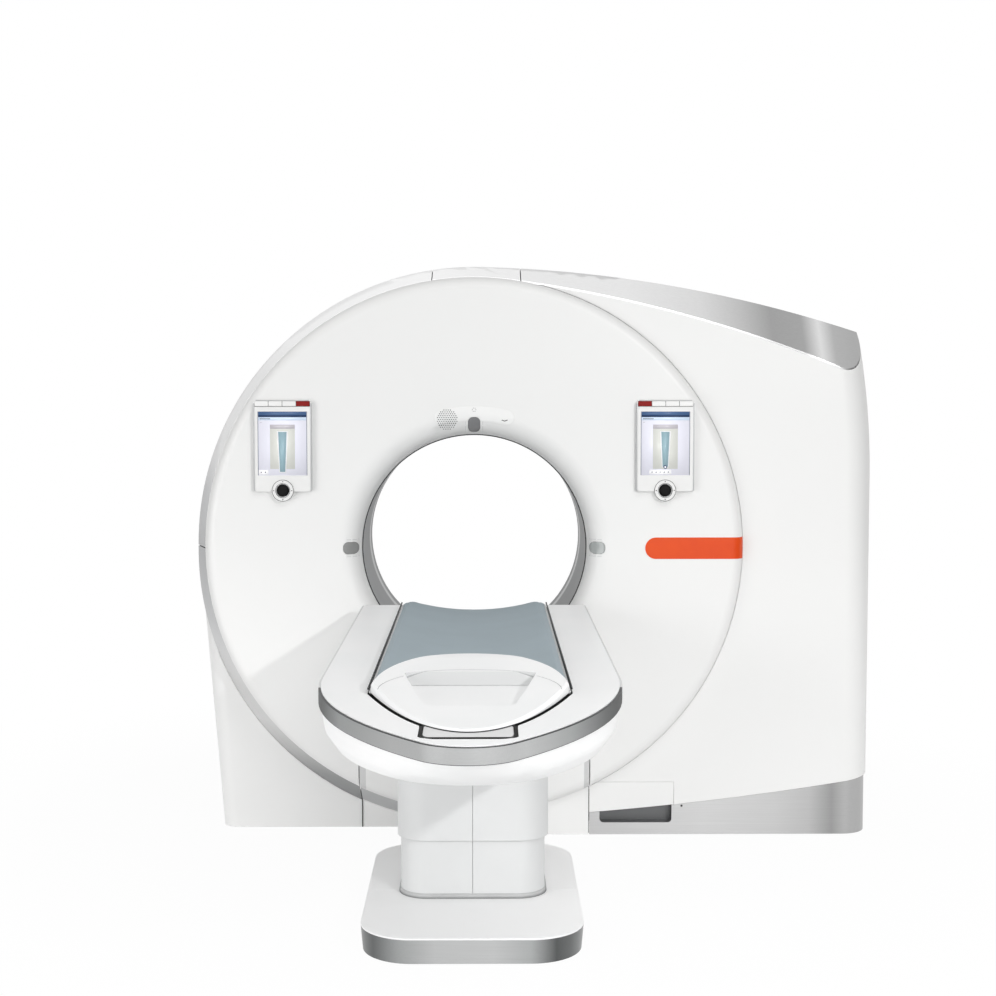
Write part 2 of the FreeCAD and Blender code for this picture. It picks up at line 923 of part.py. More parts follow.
def door_region(grow):
    """Area of the service door, with the gap round it when it is grown."""
    gap = float(grow)
    left = float(size["centre_half_width"]) + float(size["seam_gap"]) - gap
    return block(left, face - 1, 0, float(size["door_right"]) + gap, face + wall,
                 float(size["door_top"]) + gap)


def wing_cover(shell):
    under = prism(plinth_top(-0.5), face - 1, 1.0)
    shape = shell.common(wing_region()).cut(under).cut(door_region(size["fit_gap"]))
    return make_feature("wing_cover", largest(shape))


def largest(shape):
    """The one main solid of a cut, without slivers."""
    return max(shape.Solids, key=lambda solid: solid.Volume)


def service_door(shell):
    under = prism(plinth_top(-0.5), face - 1, 1.0)
    shape = shell.common(wing_region()).common(door_region(0.0)).cut(under)
    return make_feature("service_door", largest(shape))


def plinth():
    """Low silver skirt of the wing with a grip recess in its top edge."""
    inset = size["plinth_inset"]
    outer = right_solid(inset, face, rear_face)
    inner = right_solid(inset + wall, face + wall, rear_face - wall)
    cavity = inner.fuse(block(-OVERRUN, face + wall, -OVERRUN, FAR / 30, rear_face - wall, FAR))
    area = prism(plinth_top(0.0), face - 1, 0.0)
    shape = above_floor(outer.cut(cavity).common(area))
    tray = slot_prism(recess_outline(-wall), face, face + size["recess_depth"] + wall)
    shape = shape.fuse(tray.common(area))
    shape = shape.cut(slot_prism(recess_outline(0.0), face - 1, face + size["recess_depth"]))
    return make_feature("plinth", largest(above_floor(shape)))


def recess_outline(inset):
    """Front view of the grip recess, round at its lower corners, open at the top."""
    left = size["recess_left"] + inset
    right = size["recess_left"] + size["recess_width"] - inset
    low = size["recess_bottom"] + inset - iso
    high = size["plinth_end_height"] - iso
    corner = size["recess_corner"] - inset
    return [
        (right, high),
        (left, high),
        (left, low + corner),
        (left + corner, low, corner, "left"),
        (right - corner, low),
        (right, low + corner, corner, "left"),
    ]


def lower_left_cover():
    outer = left_solid(0.0, shoulder, 0.0)
    inner = left_solid(wall, shoulder + wall, 30.0)
    cut_away = lower_ring_hole(0.5)
    left = -(size["centre_half_width"] + size["seam_gap"])
    middle = block(left, face, -2 * OVERRUN, FAR, rear_face + 1, FAR)
    shape = outer.cut(inner).cut(cut_away.common(block(-FAR, face, 0, 0, 0, FAR))).cut(middle)
    return make_feature("lower_left_cover", largest(above_floor(shape)))


def band_pieces(roof):
    """The roof strip in its three lengths, and the lower left ring."""
    body_side = right_solid(0.0, face, rear_face)
    left_side = block(-FAR, -FAR, 0, 1.0, FAR, FAR)
    trimmed = roof.common(body_side.fuse(left_side))
    half = float(size["seam_gap"]) / 2
    left_seam = -float(size["crown_seam_left"])
    right_seam = float(size["crown_seam_right"])
    lengths = (
        ("upper_left_band", -FAR, left_seam - half),
        ("crown_band", left_seam + half, right_seam - half),
        ("wing_band", right_seam + half, FAR),
    )
    for label, start, end in lengths:
        piece = trimmed.common(block(start, -FAR, 0, end, FAR, FAR))
        make_feature(label, largest(piece))
    ring = lower_ring()
    half_width = float(size["centre_half_width"]) + float(size["seam_gap"])
    piece = ring.common(block(-FAR, -FAR, 0, -half_width, FAR, float(iso) - float(size["seam_gap"])))
    make_feature("lower_left_band", largest(piece))
    return ring


def lower_centre_cover(ring):
    """One moulding under the bore: the foot of the disc and the skirt below it."""
    low = float(size["cover_floor_gap"])
    half = float(size["centre_half_width"])
    slab = centre_slab(0.0)
    disc = disc_skin(-float(wall), float(wall)).fuse(
        bore_cylinder(disc_radius, disc_face + size["disc_edge_radius"], rim_end).cut(
            bore_cylinder(disc_radius - wall, disc_face, rim_end + 1)))
    foot = disc.common(slab)
    hidden = bore_cylinder(disc_radius - wall, disc_face, 0.0)
    high = float(centre_top)
    skirt_right = block(0, face, low, half, face + wall, high).cut(hidden)
    ring_hole = lower_ring_hole(-float(wall) / 2)
    skirt_left = block(-half, shoulder, low, float(wall), shoulder + wall, high).cut(ring_hole)
    step = block(0, face, low, wall, shoulder + wall, size["centre_step_height"])
    web = bore_cylinder(face_ring, face, face + wall).cut(
        bore_cylinder(disc_radius - wall / 2, face, face + wall))
    left_web = web.common(block(-half, face, low, 0, face + wall, high))
    parts = [ring.common(slab), skirt_right, skirt_left, step, left_web]
    shape = foot.fuse(parts).removeSplitter()
    return make_feature("lower_centre_cover", shape)


def rear_cover(shell):
    """Rear plate with the right side wall behind the middle."""
    rear = shell.common(block(0, 0, 0, FAR, FAR, FAR))
    plate = block(-FAR, rear_face - wall, size["cover_floor_gap"], OVERRUN, rear_face, FAR)
    lean = prism(left_outline(0.0, 0.0), 0, rear_face + 1)
    round_top = bore_cylinder(face_ring - wall, 0, rear_face + 1)
    upper = block(-FAR, 0, iso - OVERRUN, OVERRUN, FAR, FAR)
    plate = plate.common(lean.fuse(round_top.common(upper)))
    flare = size["flare_mouth"] / 2 + size["liner_wall"] + size["fit_gap"] / 2
    hole = bore_cylinder(flare, 0, rear_face + 1)
    shape = rear.fuse(plate).cut(hole)
    return make_feature("rear_cover", largest(shape.removeSplitter()))


# ---------------------------------------------------------------- tunnel and flare

def tunnel_liner():
    return plain_ring("tunnel_liner", lip_end, -window_half, bore_radius,
                      bore_radius + size["liner_wall"])


def scan_window():
    """Thin clear ring over the gap that the beam passes through."""
    return plain_ring("scan_window", -window_half, window_half, bore_radius,
                      bore_radius + size["liner_wall"] / 2)


def rear_flare():
    """Rear half of the tunnel, widening to a flange on the rear cover."""
    mouth = size["flare_mouth"] / 2
    return revolved_ring("rear_flare", flare_corners(size["flare_start"], mouth, size["liner_wall"]))


def flare_corners(start, mouth, lining):
    """Section of the flare: inner surface first, in three straight steps, then back outside."""
    end = rear_face + lining
    run = rear_face - start
    rise = mouth - bore_radius
    steps = [(start + run * along, bore_radius + rise * along ** 2) for along in FLARE_STEPS]
    outside = [(y, radius + lining) for y, radius in reversed(steps)]
    return [(window_half, bore_radius), (start, bore_radius)] + steps + [
        (end, mouth),
        (end, mouth + size["flare_flange"]),
        (rear_face, mouth + size["flare_flange"]),
    ] + outside + [
        (start, bore_radius + lining),
        (window_half, bore_radius + lining),
    ]


# ------------------------------------------------------------------ control panels

def panel_housing(label, side):
    """Flat housing on the disc with a screen seat, a key slot and a joystick boss."""
    body = make_body(label)
    centre = side * panel_x
    left = centre - size["panel_width"] / 2
    right = centre + size["panel_width"] / 2
    low = panel_bottom
    high = low + size["panel_height"]
    outline = make_sketch(body, "XZ", label + "_outline", size["disc_front"])
    draw_outline(outline, rounded_rectangle(left, low, right, high, size["panel_corner"]))
    add_pad(body, outline, size["panel_depth"])
    boss = make_sketch(body, "XZ", label + "_boss", size["disc_front"])
    draw_circle(boss, centre, stick_height, size["boss_radius"])
    add_pad(body, boss, size["panel_depth"] + size["boss_proud"])
    front = size["disc_front"] + size["panel_depth"]
    screen = make_sketch(body, "XZ", label + "_screen_seat", front)
    screen_left, screen_low, screen_right, screen_high = screen_corners(side, 0.0)
    draw_outline(screen, [(screen_right, screen_low), (screen_right, screen_high),
                          (screen_left, screen_high), (screen_left, screen_low)])
    add_pocket(body, screen, size["screen_depth"])
    keys = make_sketch(body, "XZ", label + "_key_slot", front)
    key_low = high - size["button_drop"] - size["button_height"]
    inset = size["button_drop"]
    draw_outline(keys, [(right - inset, key_low), (right - inset, high - inset),
                        (left + inset, high - inset), (left + inset, key_low)])
    add_pocket(body, keys, size["button_depth"] + size["button_travel"])
    bore = make_sketch(body, "XZ", label + "_stick_bore", front + size["boss_proud"])
    draw_circle(bore, centre, stick_height, gimbal_outer() + size["gimbal_gap"])
    add_pocket(body, bore, size["panel_depth"] + size["boss_proud"])
    return body


def gimbal_outer():
    return size["stick_ball"] + size["gimbal_gap"] + size["gimbal_wall"]


def screen_corners(side, inset):
    """Left, lower, right and upper edge of a screen."""
    centre = side * panel_x
    low = panel_bottom + size["screen_rise"] + inset
    return (
        centre - size["screen_width"] / 2 + inset,
        low,
        centre + size["screen_width"] / 2 - inset,
        low + size["screen_height"] - 2 * inset,
    )


def panel_screens():
    """The two displays, each in the seat of its housing."""
    panes = []
    for name, side in (("left", -1), ("right", 1)):
        left, low, right, high = screen_corners(side, 0.0)
        depth = size["screen_depth"]
        front = panel_face
        panes.append(make_box("screen_pane_" + name, right - left, depth, high - low, left, front, low))
    return make_fuse("panel_screens", panes)


BUTTON_COUNT = 4


def panel_button(name, side, index):
    """One key of the row over a screen."""
    inset = size["button_drop"]
    row_left = side * panel_x - size["panel_width"] / 2 + inset
    row_width = size["panel_width"] - 2 * inset
    pitch = row_width / BUTTON_COUNT
    gap = size["button_gap"]
    top = panel_bottom + size["panel_height"] - inset
    x = row_left + pitch * index + gap
    z = top - size["button_height"] + gap
    front = panel_face - size["button_proud"]
    depth = size["button_depth"] + size["button_proud"]
    return make_box(name, pitch - 2 * gap, depth, size["button_height"] - 2 * gap, x, front, z)


def joystick(label, side):
    """Round thumb cap, turned about its own axis, with its pivot in its middle."""
    body = make_body(label)
    bind(body, Placement__Base__x=side * panel_x, Placement__Base__z=stick_height)
    sketch = make_sketch(body, "YZ", label + "_section")
    radius = size["stick_ball"]
    draw_outline(sketch, [
        (stick_pivot + size["gimbal_width"] / 2, 0.0),
        (stick_pivot + size["gimbal_width"] / 2, radius),
        (stick_pivot - size["gimbal_width"] / 2, radius),
        (stick_pivot - radius * 0.8, radius * 0.55),
        (stick_pivot - radius * 0.8, 0.0),
    ])
    turned = body.newObject("PartDesign::Revolution", label + "_turned")
    turned.Profile = sketch
    turned.ReferenceAxis = (sketch, ["H_Axis"])
    turned.Angle = 360
    body.Tip = turned
    return body


def gimbal_ring(label, side):
    """Ring round the joystick that carries its cross pivots."""
    inner = size["stick_ball"] + size["gimbal_gap"]
    start = stick_pivot - size["gimbal_width"] / 2
    x = side * panel_x
    outside = make_cylinder(label + "_outside", gimbal_outer(), size["gimbal_width"],
                            x, start, stick_height, AXIS_Y)
    inside = make_cylinder(label + "_inside", inner, size["gimbal_width"] + 2,
                           x, start - 1, stick_height, AXIS_Y)
    return make_cut(label, outside, inside)


# ------------------------------------------------------------ frame, bearing, rotor

def gantry_base_frame():
    """Welded floor frame: two cross beams, two long beams, cover rails and four feet."""
    foot = size["foot_height"]
    beam = size["beam_width"]
    height = size["beam_height"]
    y_front = -(size["anchor_y"] + beam / 2)
    y_rear = size["anchor_y"] - beam / 2
    left = -(size["left_foot"] - size["frame_clearance"])
    right = size["wing_side"] - size["frame_clearance"]
    pieces = [
        make_box("front_cross_beam", right - left, beam, height, left, y_front, foot),
        make_box("rear_cross_beam", right - left, beam, height, left, y_rear, foot),
    ]
    for name, side in (("left", -1), ("right", 1)):
        pieces.append(make_box(name + "_long_beam", beam, y_rear - y_front - beam, height,
                               side * size["anchor_x"] - beam / 2, y_front + beam, foot))
        for end, y in (("front", -size["anchor_y"]), ("rear", size["anchor_y"])):
            pieces.append(make_cylinder("%s_%s_foot" % (name, end), size["foot_radius"], foot,
                                        side * size["anchor_x"], y, 0.0))
    rail = size["cover_rail_height"]
    reach = right - size["door_right"] - size["wing_corner_radius"]
    pieces.append(make_box("front_cover_rail", reach, y_front - face - wall, rail,
                           size["door_right"], face + wall, foot))
    pieces.append(make_box("rear_cover_rail", reach, rear_face - wall - y_rear - beam,
                           rail, size["door_right"], y_rear + beam, foot))
    pieces.append(make_box("centre_front_rail", size["centre_half_width"] / 2, y_front - face - wall,
                           rail, beam, face + wall, foot))
    frame = make_fuse("frame_weldment", pieces)
    holes = []
    for side in (-1, 1):
        for end in (-1, 1):
            holes.append(make_cylinder("anchor_hole", size["anchor_hole"] / 2, foot + height + 2,
                                       side * size["anchor_x"], end * size["anchor_y"], -1.0))
    return make_cut("gantry_base_frame", frame, make_fuse("anchor_holes", holes))


def stator_frame():
    """Upright plate with legs that holds the bearing behind the rotor."""
    body = make_body("stator_frame")
    floor = size["foot_height"] + size["beam_height"]
    radius = stator_radius
    half = size["anchor_x"] + size["beam_width"] / 2
    rise = iso
    outline = make_sketch(body, "XZ", "stator_outline", -(size["stator_start"] + size["stator_plate"]))
    top = iso + radius
    draw_outline(outline, [
        (half, floor),
        (radius, rise),
        (0.0, top, radius, "left"),
        (-radius, rise, radius, "left"),
        (-half, floor),
    ])
    add_pad(body, outline, size["stator_plate"])
    opening = make_sketch(body, "XZ", "stator_bore", -size["stator_start"])
    draw_circle(opening, 0.0, iso, bearing_radius + size["bearing_outer_wall"])
    add_pocket(body, opening, size["stator_plate"])
    foot = make_sketch(body, "XZ", "stator_foot", -(size["stator_start"] + size["stator_plate"]))
    gap = size["beam_width"]
    draw_outline(foot, [(half, floor), (half, floor + 2 * wall), (-half, floor + 2 * wall), (-half, floor)])
    add_pad(body, foot, size["stator_plate"] + gap)
    return body


def bearing_outer_ring():
    start = size["stator_start"]
    return plain_ring("bearing_outer_ring", start, start + size["stator_plate"],
                      bearing_radius, bearing_radius + size["bearing_outer_wall"])


def bearing_inner_ring():
    outer = bearing_radius - size["bearing_gap"]
    return plain_ring("bearing_inner_ring", rotor_back, size["stator_start"] + size["stator_plate"],
                      outer - size["bearing_inner_wall"], outer)


def rotor_drum():
    """Open drum that turns in the bearing: a plate with a stiff rim."""
    plate_front = rotor_front
    rim = rotor_radius - size["rotor_plate"] / 2
    return revolved_ring("rotor_drum", [
        (rotor_back, size["rotor_hole_radius"]),
        (rotor_back, rotor_radius),
        (plate_front - size["rotor_rim_depth"], rotor_radius),
        (plate_front - size["rotor_rim_depth"], rim),
        (plate_front, rim),
        (plate_front, size["rotor_hole_radius"]),
    ])


def slip_ring():
    outer = rotor_radius
    return plain_ring("slip_ring", rotor_back, rotor_back + size["slip_ring_depth"],
                      outer - size["slip_ring_width"], outer)


def at_clock(shape, degrees):
    copy = shape.copy()
    copy.rotate(point(0, 0, iso), AXIS_Y, degrees)
    return copy


SECOND_SYSTEM = 95.0


def xray_tubes():
    """Two tube housings a quarter turn apart, bolted to the drum plate."""
    start = rotor_front - size["tube_length"]
    height = iso + rotor_radius - size["tube_clearance"]
    can = Part.makeCylinder(
        float(size["tube_radius"]), float(size["tube_length"]), point(0, start, height), AXIS_Y)
    half = size["tube_neck_width"] / 2
    low = height - size["tube_radius"] - size["tube_neck_reach"]
    neck = block(-half, rotor_front - size["tube_neck_depth"], low, half, rotor_front, height)
    housing = can.fuse(neck).removeSplitter()
    return make_feature("xray_tubes", Part.makeCompound([housing, at_clock(housing, SECOND_SYSTEM)]))


def detectors():
    """Two curved detector banks, each across the bore from its tube."""
    plate_front = float(rotor_front)
    start = plate_front - float(size["detector_width"])
    ring = bore_cylinder(detector_outer, start, plate_front).cut(
        bore_cylinder(detector_inner, start, plate_front))
    banks = []
    for clock, spread in zip((0.0, SECOND_SYSTEM), DETECTOR_SPREADS):
        reach = FAR * math.sin(math.radians(spread))
        drop = FAR * math.cos(math.radians(spread))
        wedge = prism([(0, iso), (reach, float(iso) - drop), (-reach, float(iso) - drop)],
                      start, plate_front)
        banks.append(at_clock(ring.common(wedge), clock))
    return make_feature("detectors", Part.makeCompound(banks))


def generator_tanks():
    """High voltage tank and cooler in the quarters that the tubes leave free."""
    plate_front = float(rotor_front)
    inner = float(size["rotor_hole_radius"] + size["tank_clearance"])
    outer = float(detector_outer - size["tank_margin"])
    pieces = []
    for clock, half_width, depth in TANKS:
        high = math.sqrt(outer ** 2 - half_width ** 2)
        tank = block(-half_width, plate_front - depth, float(iso) + inner,
                     half_width, plate_front, float(iso) + high)
        pieces.append(at_clock(tank, clock))
    return make_feature("generator_tanks", Part.makeCompound(pieces))


# ----------------------------------------------------------------- table base, column

def base_corners(inset):
    """Rounded outline of the table base."""
    half = size["base_width"] / 2 - inset
    front = -(size["base_front"] - inset)
    back = -(size["base_back"] + inset)
    return rounded_rectangle(-half, front, half, back, size["base_corner"] - inset)


def base_plate():
    body = make_body("base_plate")
    outline = make_sketch(body, "XY", "base_plate_outline")
    inset = size["base_wall"] + size["base_taper"]
    draw_outline(outline, base_corners(inset))
    add_pad(body, outline, size["base_plate"])
    holes = make_sketch(body, "XY", "base_anchor_holes")
    for side in (-1, 1):
        for end in (-1, 1):
            y = column_middle - size["table_anchor_shift"] + end * size["table_anchor_y"]
            draw_circle(holes, side * size["table_anchor_x"], y, size["anchor_hole"] / 2)
    add_pocket(body, holes, size["base_plate"], True)
    return body


def base_skirt():
    """Silver wall round the base, leaning in a little to the floor."""
    body = make_body("base_skirt")
    low = size["cover_floor_gap"] / 2
    height = size["base_height"] - size["base_top_wall"]
    foot = make_sketch(body, "XY", "skirt_foot", low)
    draw_outline(foot, base_corners(size["base_taper"]))
    top = make_sketch(body, "XY", "skirt_top", height)
    draw_outline(top, base_corners(0.0))
    loft = body.newObject("PartDesign::AdditiveLoft", "skirt_loft")
    loft.Profile = foot
    loft.Sections = [top]
    loft.Ruled = True
    body.Tip = loft
    hollow = make_sketch(body, "XY", "skirt_hollow", height)
    draw_outline(hollow, base_corners(size["base_wall"] + size["base_taper"]))
    add_pocket(body, hollow, height)
    return body


def column_corners(offset):
    """Rounded outline of the column, grown by an offset."""
    half = size["column_width"] / 2 + offset
    front = column_middle - size["column_depth"] / 2 - offset
    back = column_middle + size["column_depth"] / 2 + offset
    return rounded_rectangle(-half, front, half, back, size["column_corner"] + offset)


def base_covers():
    """White top of the base in a front and a rear half round the column."""
    body = make_body("base_cover_blank")
    low = size["base_height"] - size["base_top_wall"]
    outline = make_sketch(body, "XY", "base_cover_outline", low)
    draw_outline(outline, base_corners(0.0))
    draw_outline(outline, column_corners(size["fit_gap"]))
    add_pad(body, outline, size["base_top_wall"])
    seam = make_box("base_cover_seam", size["base_width"], size["column_seam"], size["base_height"],
                    -size["base_width"] / 2, -size["column_front"] + size["column_corner"], low - 1)
    return make_cut("base_covers", body, seam)


def column_half(label, side, offset, low, high):
    """Left or right half shell of a column cover."""
    body = make_body(label)
    outline = make_sketch(body, "XY", label + "_outline", low)
    half = size["column_width"] / 2 + offset
    front = column_middle - size["column_depth"] / 2 - offset
    back = column_middle + size["column_depth"] / 2 + offset
    radius = size["column_corner"] + offset
    thick = size["column_wall"]
    seam = size["column_seam"] / 2
    turn, back_turn = ("left", "right") if side > 0 else ("right", "left")
    draw_outline(outline, [
        (side * seam, front),
        (side * (half - radius), front),
        (side * half, front + radius, radius, turn),
        (side * half, back - radius),
        (side * (half - radius), back, radius, turn),
        (side * seam, back),
        (side * seam, back - thick),
        (side * (half - radius), back - thick),
        (side * (half - thick), back - radius, radius - thick, back_turn),
        (side * (half - thick), front + radius),
        (side * (half - radius), front + thick, radius - thick, back_turn),
        (side * seam, front + thick),
    ])
    add_pad(body, outline, high - low)
    return body


def square_tube(label, inset, low, high):
    """Telescoping box section of the lift, inset from the outermost one."""
    width = size["lift_tube_width"] - 2 * inset
    depth = size["lift_tube_depth"] - 2 * inset
    thick = size["lift_tube_wall"]
    outside = make_box(label + "_outside", width, depth, high - low,
                       -width / 2, column_middle - depth / 2, low)
    inside = make_box(label + "_inside", width - 2 * thick, depth - 2 * thick, high - low + 2,
                      thick - width / 2, column_middle - depth / 2 + thick, low - 1)
    return outside, inside


def lift_outer_tube():
    outside, inside = square_tube("outer_tube", 0.0, size["base_plate"],
                                  size["lower_column_top"])
    clear = size["column_wall"] + size["slide_gap"]
    flange = make_box("outer_tube_flange", size["column_width"] - 2 * clear,
                      size["lift_tube_depth"] + 2 * size["flange_reach"], size["base_plate"],
                      clear - size["column_width"] / 2,
                      column_middle - size["lift_tube_depth"] / 2 - size["flange_reach"],
                      size["base_plate"])
    return make_cut("lift_outer_tube", make_fuse("outer_tube_body", [outside, flange]), inside)


def lift_middle_tube():
    """Second stage, with the bracket that the middle column cover hangs on."""
    inset = size["lift_tube_wall"] + size["slide_gap"]
    outside, inside = square_tube("middle_tube", inset, size["middle_tube_bottom"],
                                  deck_top - size["middle_tube_drop"])
    grow = size["column_step"] - size["column_wall"] - size["slide_gap"]
    bracket = make_box("middle_bracket", size["column_width"] + 2 * grow,
                       size["lift_tube_depth"] - 2 * size["flange_reach"], size["bracket_depth"],
                       -(size["column_width"] / 2 + grow),
                       column_middle - size["lift_tube_depth"] / 2 + size["flange_reach"],
                       deck_top - size["bracket_drop"])
    return make_cut("lift_middle_tube", make_fuse("middle_tube_body", [outside, bracket]), inside)


def lift_inner_tube():
    inset = 2 * (size["lift_tube_wall"] + size["slide_gap"])
    top = trough_floor - size["deck_wall"]
    outside, inside = square_tube("inner_tube", inset, top - size["inner_tube_length"], top)
    return make_cut("lift_inner_tube", outside, inside)


def lift_spindle():
    base = size["base_plate"]
    return make_cylinder("lift_spindle", size["spindle_radius"], size["spindle_top"] - base,
                         0.0, column_middle, base)


# -------------------------------------------------------------------- table top

def nose_outline(half, side_radius, tip_radius, tip, back, z):
    """Plan of the table top: straight sides, square back, pointed round nose at the foot end.

    An arc of side_radius leads from each straight side into the arc of tip_radius at the tip.
    """
    run = side_radius - half
    reach = math.sqrt((side_radius - tip_radius) ** 2 - run ** 2)
    start = tip - tip_radius - reach
    side_centre = point(-run, -start, z)
    tip_centre = point(0, -(tip - tip_radius), z)
    outward = (tip_centre - side_centre).normalize()
    joint = tip_centre + outward * tip_radius
    half_way = (AXIS_X + outward).normalize()
    middle = side_centre + half_way * side_radius
    back_right = point(half, -back, z)
    side_end = point(half, -start, z)

    def mirrored(p):
        return Vector(-p.x, p.y, p.z)

    return Part.Wire([
        Part.makeLine(mirrored(back_right), back_right),
        Part.makeLine(back_right, side_end),
        Part.Arc(side_end, middle, joint).toShape(),
        Part.Arc(joint, point(0, -tip, z), mirrored(joint)).toShape(),
        Part.Arc(mirrored(joint), mirrored(middle), mirrored(side_end)).toShape(),
        Part.makeLine(mirrored(side_end), mirrored(back_right)),
    ])


def deck_prism(inset, low, high, back_inset=0.0):
    """Solid on the plan of the table top, drawn in by an inset."""
    inset = float(inset)
    wire = nose_outline(
        float(deck_half) - inset, float(size["nose_side_radius"]) - inset,
        float(size["nose_tip_radius"]) - inset, float(size["nose_tip"]) - inset,
        float(size["deck_back"]) + float(back_inset), float(low))
    return Part.Face(wire).extrude(point(0, 0, float(high) - float(low)))


def cap_rear_plan(side_gap, end_gap, low, high, overlap=0.0):
    """Upright solid on the rear half of the cap's plan, half an oval, grown by two gaps."""
    half = float(size["cap_width"]) / 2 + float(side_gap)
    reach = float(size["cap_rear"]) + float(end_gap)
    centre = point(0, -float(size["cap_centre"]), low)
    ellipse = Part.Ellipse(centre + point(0, reach, 0), centre + point(half, 0, 0), centre)
    solid = Part.Face(Part.Wire(ellipse.toShape())).extrude(point(0, 0, float(high) - float(low)))
    return solid.common(block(-FAR, centre.y - float(overlap), low, FAR, centre.y + FAR, high))


def cap_front_plan(side_gap, end_gap, low, high, overlap=0.0):
    """Upright solid on the front half of the cap's plan, a parabola, grown by two gaps."""
    reach = float(size["cap_front"]) + float(end_gap)
    half = (float(size["cap_width"]) / 2 + float(side_gap)) * math.sqrt(1 + float(overlap) / reach)
    back = point(0, float(overlap) - float(size["cap_centre"]), low)
    toe = Part.BezierCurve()
    toe.setPoles([back - point(half, 0, 0), back - point(0, 2 * (reach + float(overlap)), 0),
                  back + point(half, 0, 0)])
    across = Part.makeLine(back + point(half, 0, 0), back - point(half, 0, 0))
    plan = Part.Face(Part.Wire([toe.toShape(), across]))
    return plan.extrude(point(0, 0, float(high) - float(low)))


def tongue_prism(side_gap, front_gap, low, high):
    """Tapering tile at the toe of the cap, in plan, grown by two gaps."""
    rear = -float(size["cap_centre"] + size["tongue_root"])
    front = -float(size["nose_tip"] - size["tongue_setback"] + front_gap)
    rear_half = float(size["tongue_rear_width"] / 2 + side_gap)
    front_half = float(size["tongue_front_width"] / 2 + side_gap)
    corners = [point(-rear_half, rear, low), point(rear_half, rear, low),
               point(front_half, front, low), point(-front_half, front, low)]
    solid = Part.Face(Part.makePolygon(corners + corners[:1])).extrude(point(0, 0, float(high - low)))
    edges = [edge for edge in solid.Edges
             if all(abs(vertex.Point.y - front) < 0.1 for vertex in edge.Vertexes)
             and edge.BoundBox.ZLength > 1]
    return solid.makeFillet(float(size["tongue_corner"] + side_gap), edges)


def trough(low, high):
    """Open channel of the deck: oval at the foot, straight to the gantry end."""
    half = float(trough_half)
    channel = block(-half, -float(size["cap_centre"]), low, half, 0, high)
    toe = cap_front_plan(size["tip_gap"], size["toe_gap"], low, high)
    notch_floor = tongue_top - size["tongue_depth"] - size["trough_gap"]
    notch = tongue_prism(size["notch_gap"], size["notch_front_gap"], notch_floor, high)
    return channel.fuse([toe, notch])


def deck():
    """White table top with a long trough for the cradle."""
    plate = deck_prism(size["band_wall"], band_bottom, deck_top)
    floor = trough_floor
    thick = size["deck_wall"]
    half = tip_half + 2 * thick
    keel = block(-half, -size["cap_centre"], floor - thick, half, -size["deck_back"], band_bottom + 1)
    toe = cap_front_plan(size["tip_gap"] + 2 * thick, size["toe_gap"] + 2 * thick,
                         floor - thick, band_bottom + 1)
    shape = plate.fuse([keel, toe]).cut(trough(floor, deck_top + thick))
    return make_feature("deck", largest(shape.removeSplitter()))


def edge_band():
    """Silver band round the edge of the table."""
    ring = deck_prism(0.0, band_bottom, band_top).cut(
        deck_prism(size["band_wall"], band_bottom, band_top, -2 * size["band_wall"]))
    return make_feature("edge_band", largest(ring))


# share of the depth, inset of the side, inset of the toe, bend of the side, bend of the tip, heel
BOWL_LEVELS = (
    (0.00, 6.0, 6.0, 1.00, 0.36, 0.0),
    (0.20, 22.0, 68.0, 0.67, 0.54, 0.0),
    (0.38, 54.0, 178.0, 0.38, 0.71, 12.0),
    (0.57, 100.0, 356.0, 0.20, 0.83, 62.0),
    (0.80, 122.0, 638.0, 0.07, 0.93, 152.0),
    (1.00, 126.0, 908.0, 0.03, 0.97, 250.0),
)


def bowl_solid(inset):
    """White underside of the table as a solid, narrowing to the column."""
    wires = []
    top = float(band_bottom)
    drop = top - float(bowl_bottom)
    inset = float(inset)
    bend = float(size["nose_side_radius"] - deck_half)
    for share, side_inset, toe_inset, side_bend, tip_bend, heel in BOWL_LEVELS:
        half = float(deck_half) - side_inset - inset
        toe = float(size["nose_tip"]) - toe_inset - inset
        back = float(size["deck_back"]) + heel + inset
        level = top - drop * share + inset
        wires.append(nose_outline(half, half + bend * side_bend, half * tip_bend, toe, back, level))
    return Part.makeLoft(wires, True, True)


def keel_room():
    """Space for the keel of the deck, with its oval toe and a small gap."""
    gap = 2 * size["deck_wall"] + size["slide_gap"]
    half = tip_half + gap
    low = trough_floor - size["deck_wall"]
    straight = block(-half, -size["cap_centre"], low, half, 0, band_bottom)
    toe = cap_front_plan(size["tip_gap"] + gap, size["toe_gap"] + gap, low, band_bottom)
    return straight.fuse(toe)


def table_bowl():
    """White hull under the deck, open at the top and round the column."""
    ceiling = bowl_bottom + size["deck_wall"] + size["cap_base_drop"]
    column = column_prism(size["column_step"] + size["bowl_gap"], bowl_bottom - size["bowl_wall"], ceiling)
    shape = bowl_solid(0.0).cut(bowl_solid(size["bowl_wall"])).cut(column).cut(keel_room())
    return make_feature("table_bowl", largest(shape))


def column_prism(offset, low, high):
    """Solid on the rounded outline of the column."""
    half = float(size["column_width"]) / 2 + float(offset)
    front = float(column_middle) - float(size["column_depth"]) / 2 - float(offset)
    back = float(column_middle) + float(size["column_depth"]) / 2 + float(offset)
    solid = block(-half, front, low, half, back, high)
    upright = [edge for edge in solid.Edges if edge.BoundBox.ZLength > float(high) - float(low) - 0.1]
    return solid.makeFillet(float(size["column_corner"]) + float(offset), upright)


# ----------------------------------------------------------------------- cradle

def dished_line(height, dip, half, y):
    """Arc across the table, lower in its middle."""
    return Part.Arc(point(-half, y, height), point(0, y, float(height) - float(dip)),
                    point(half, y, height)).toShape()


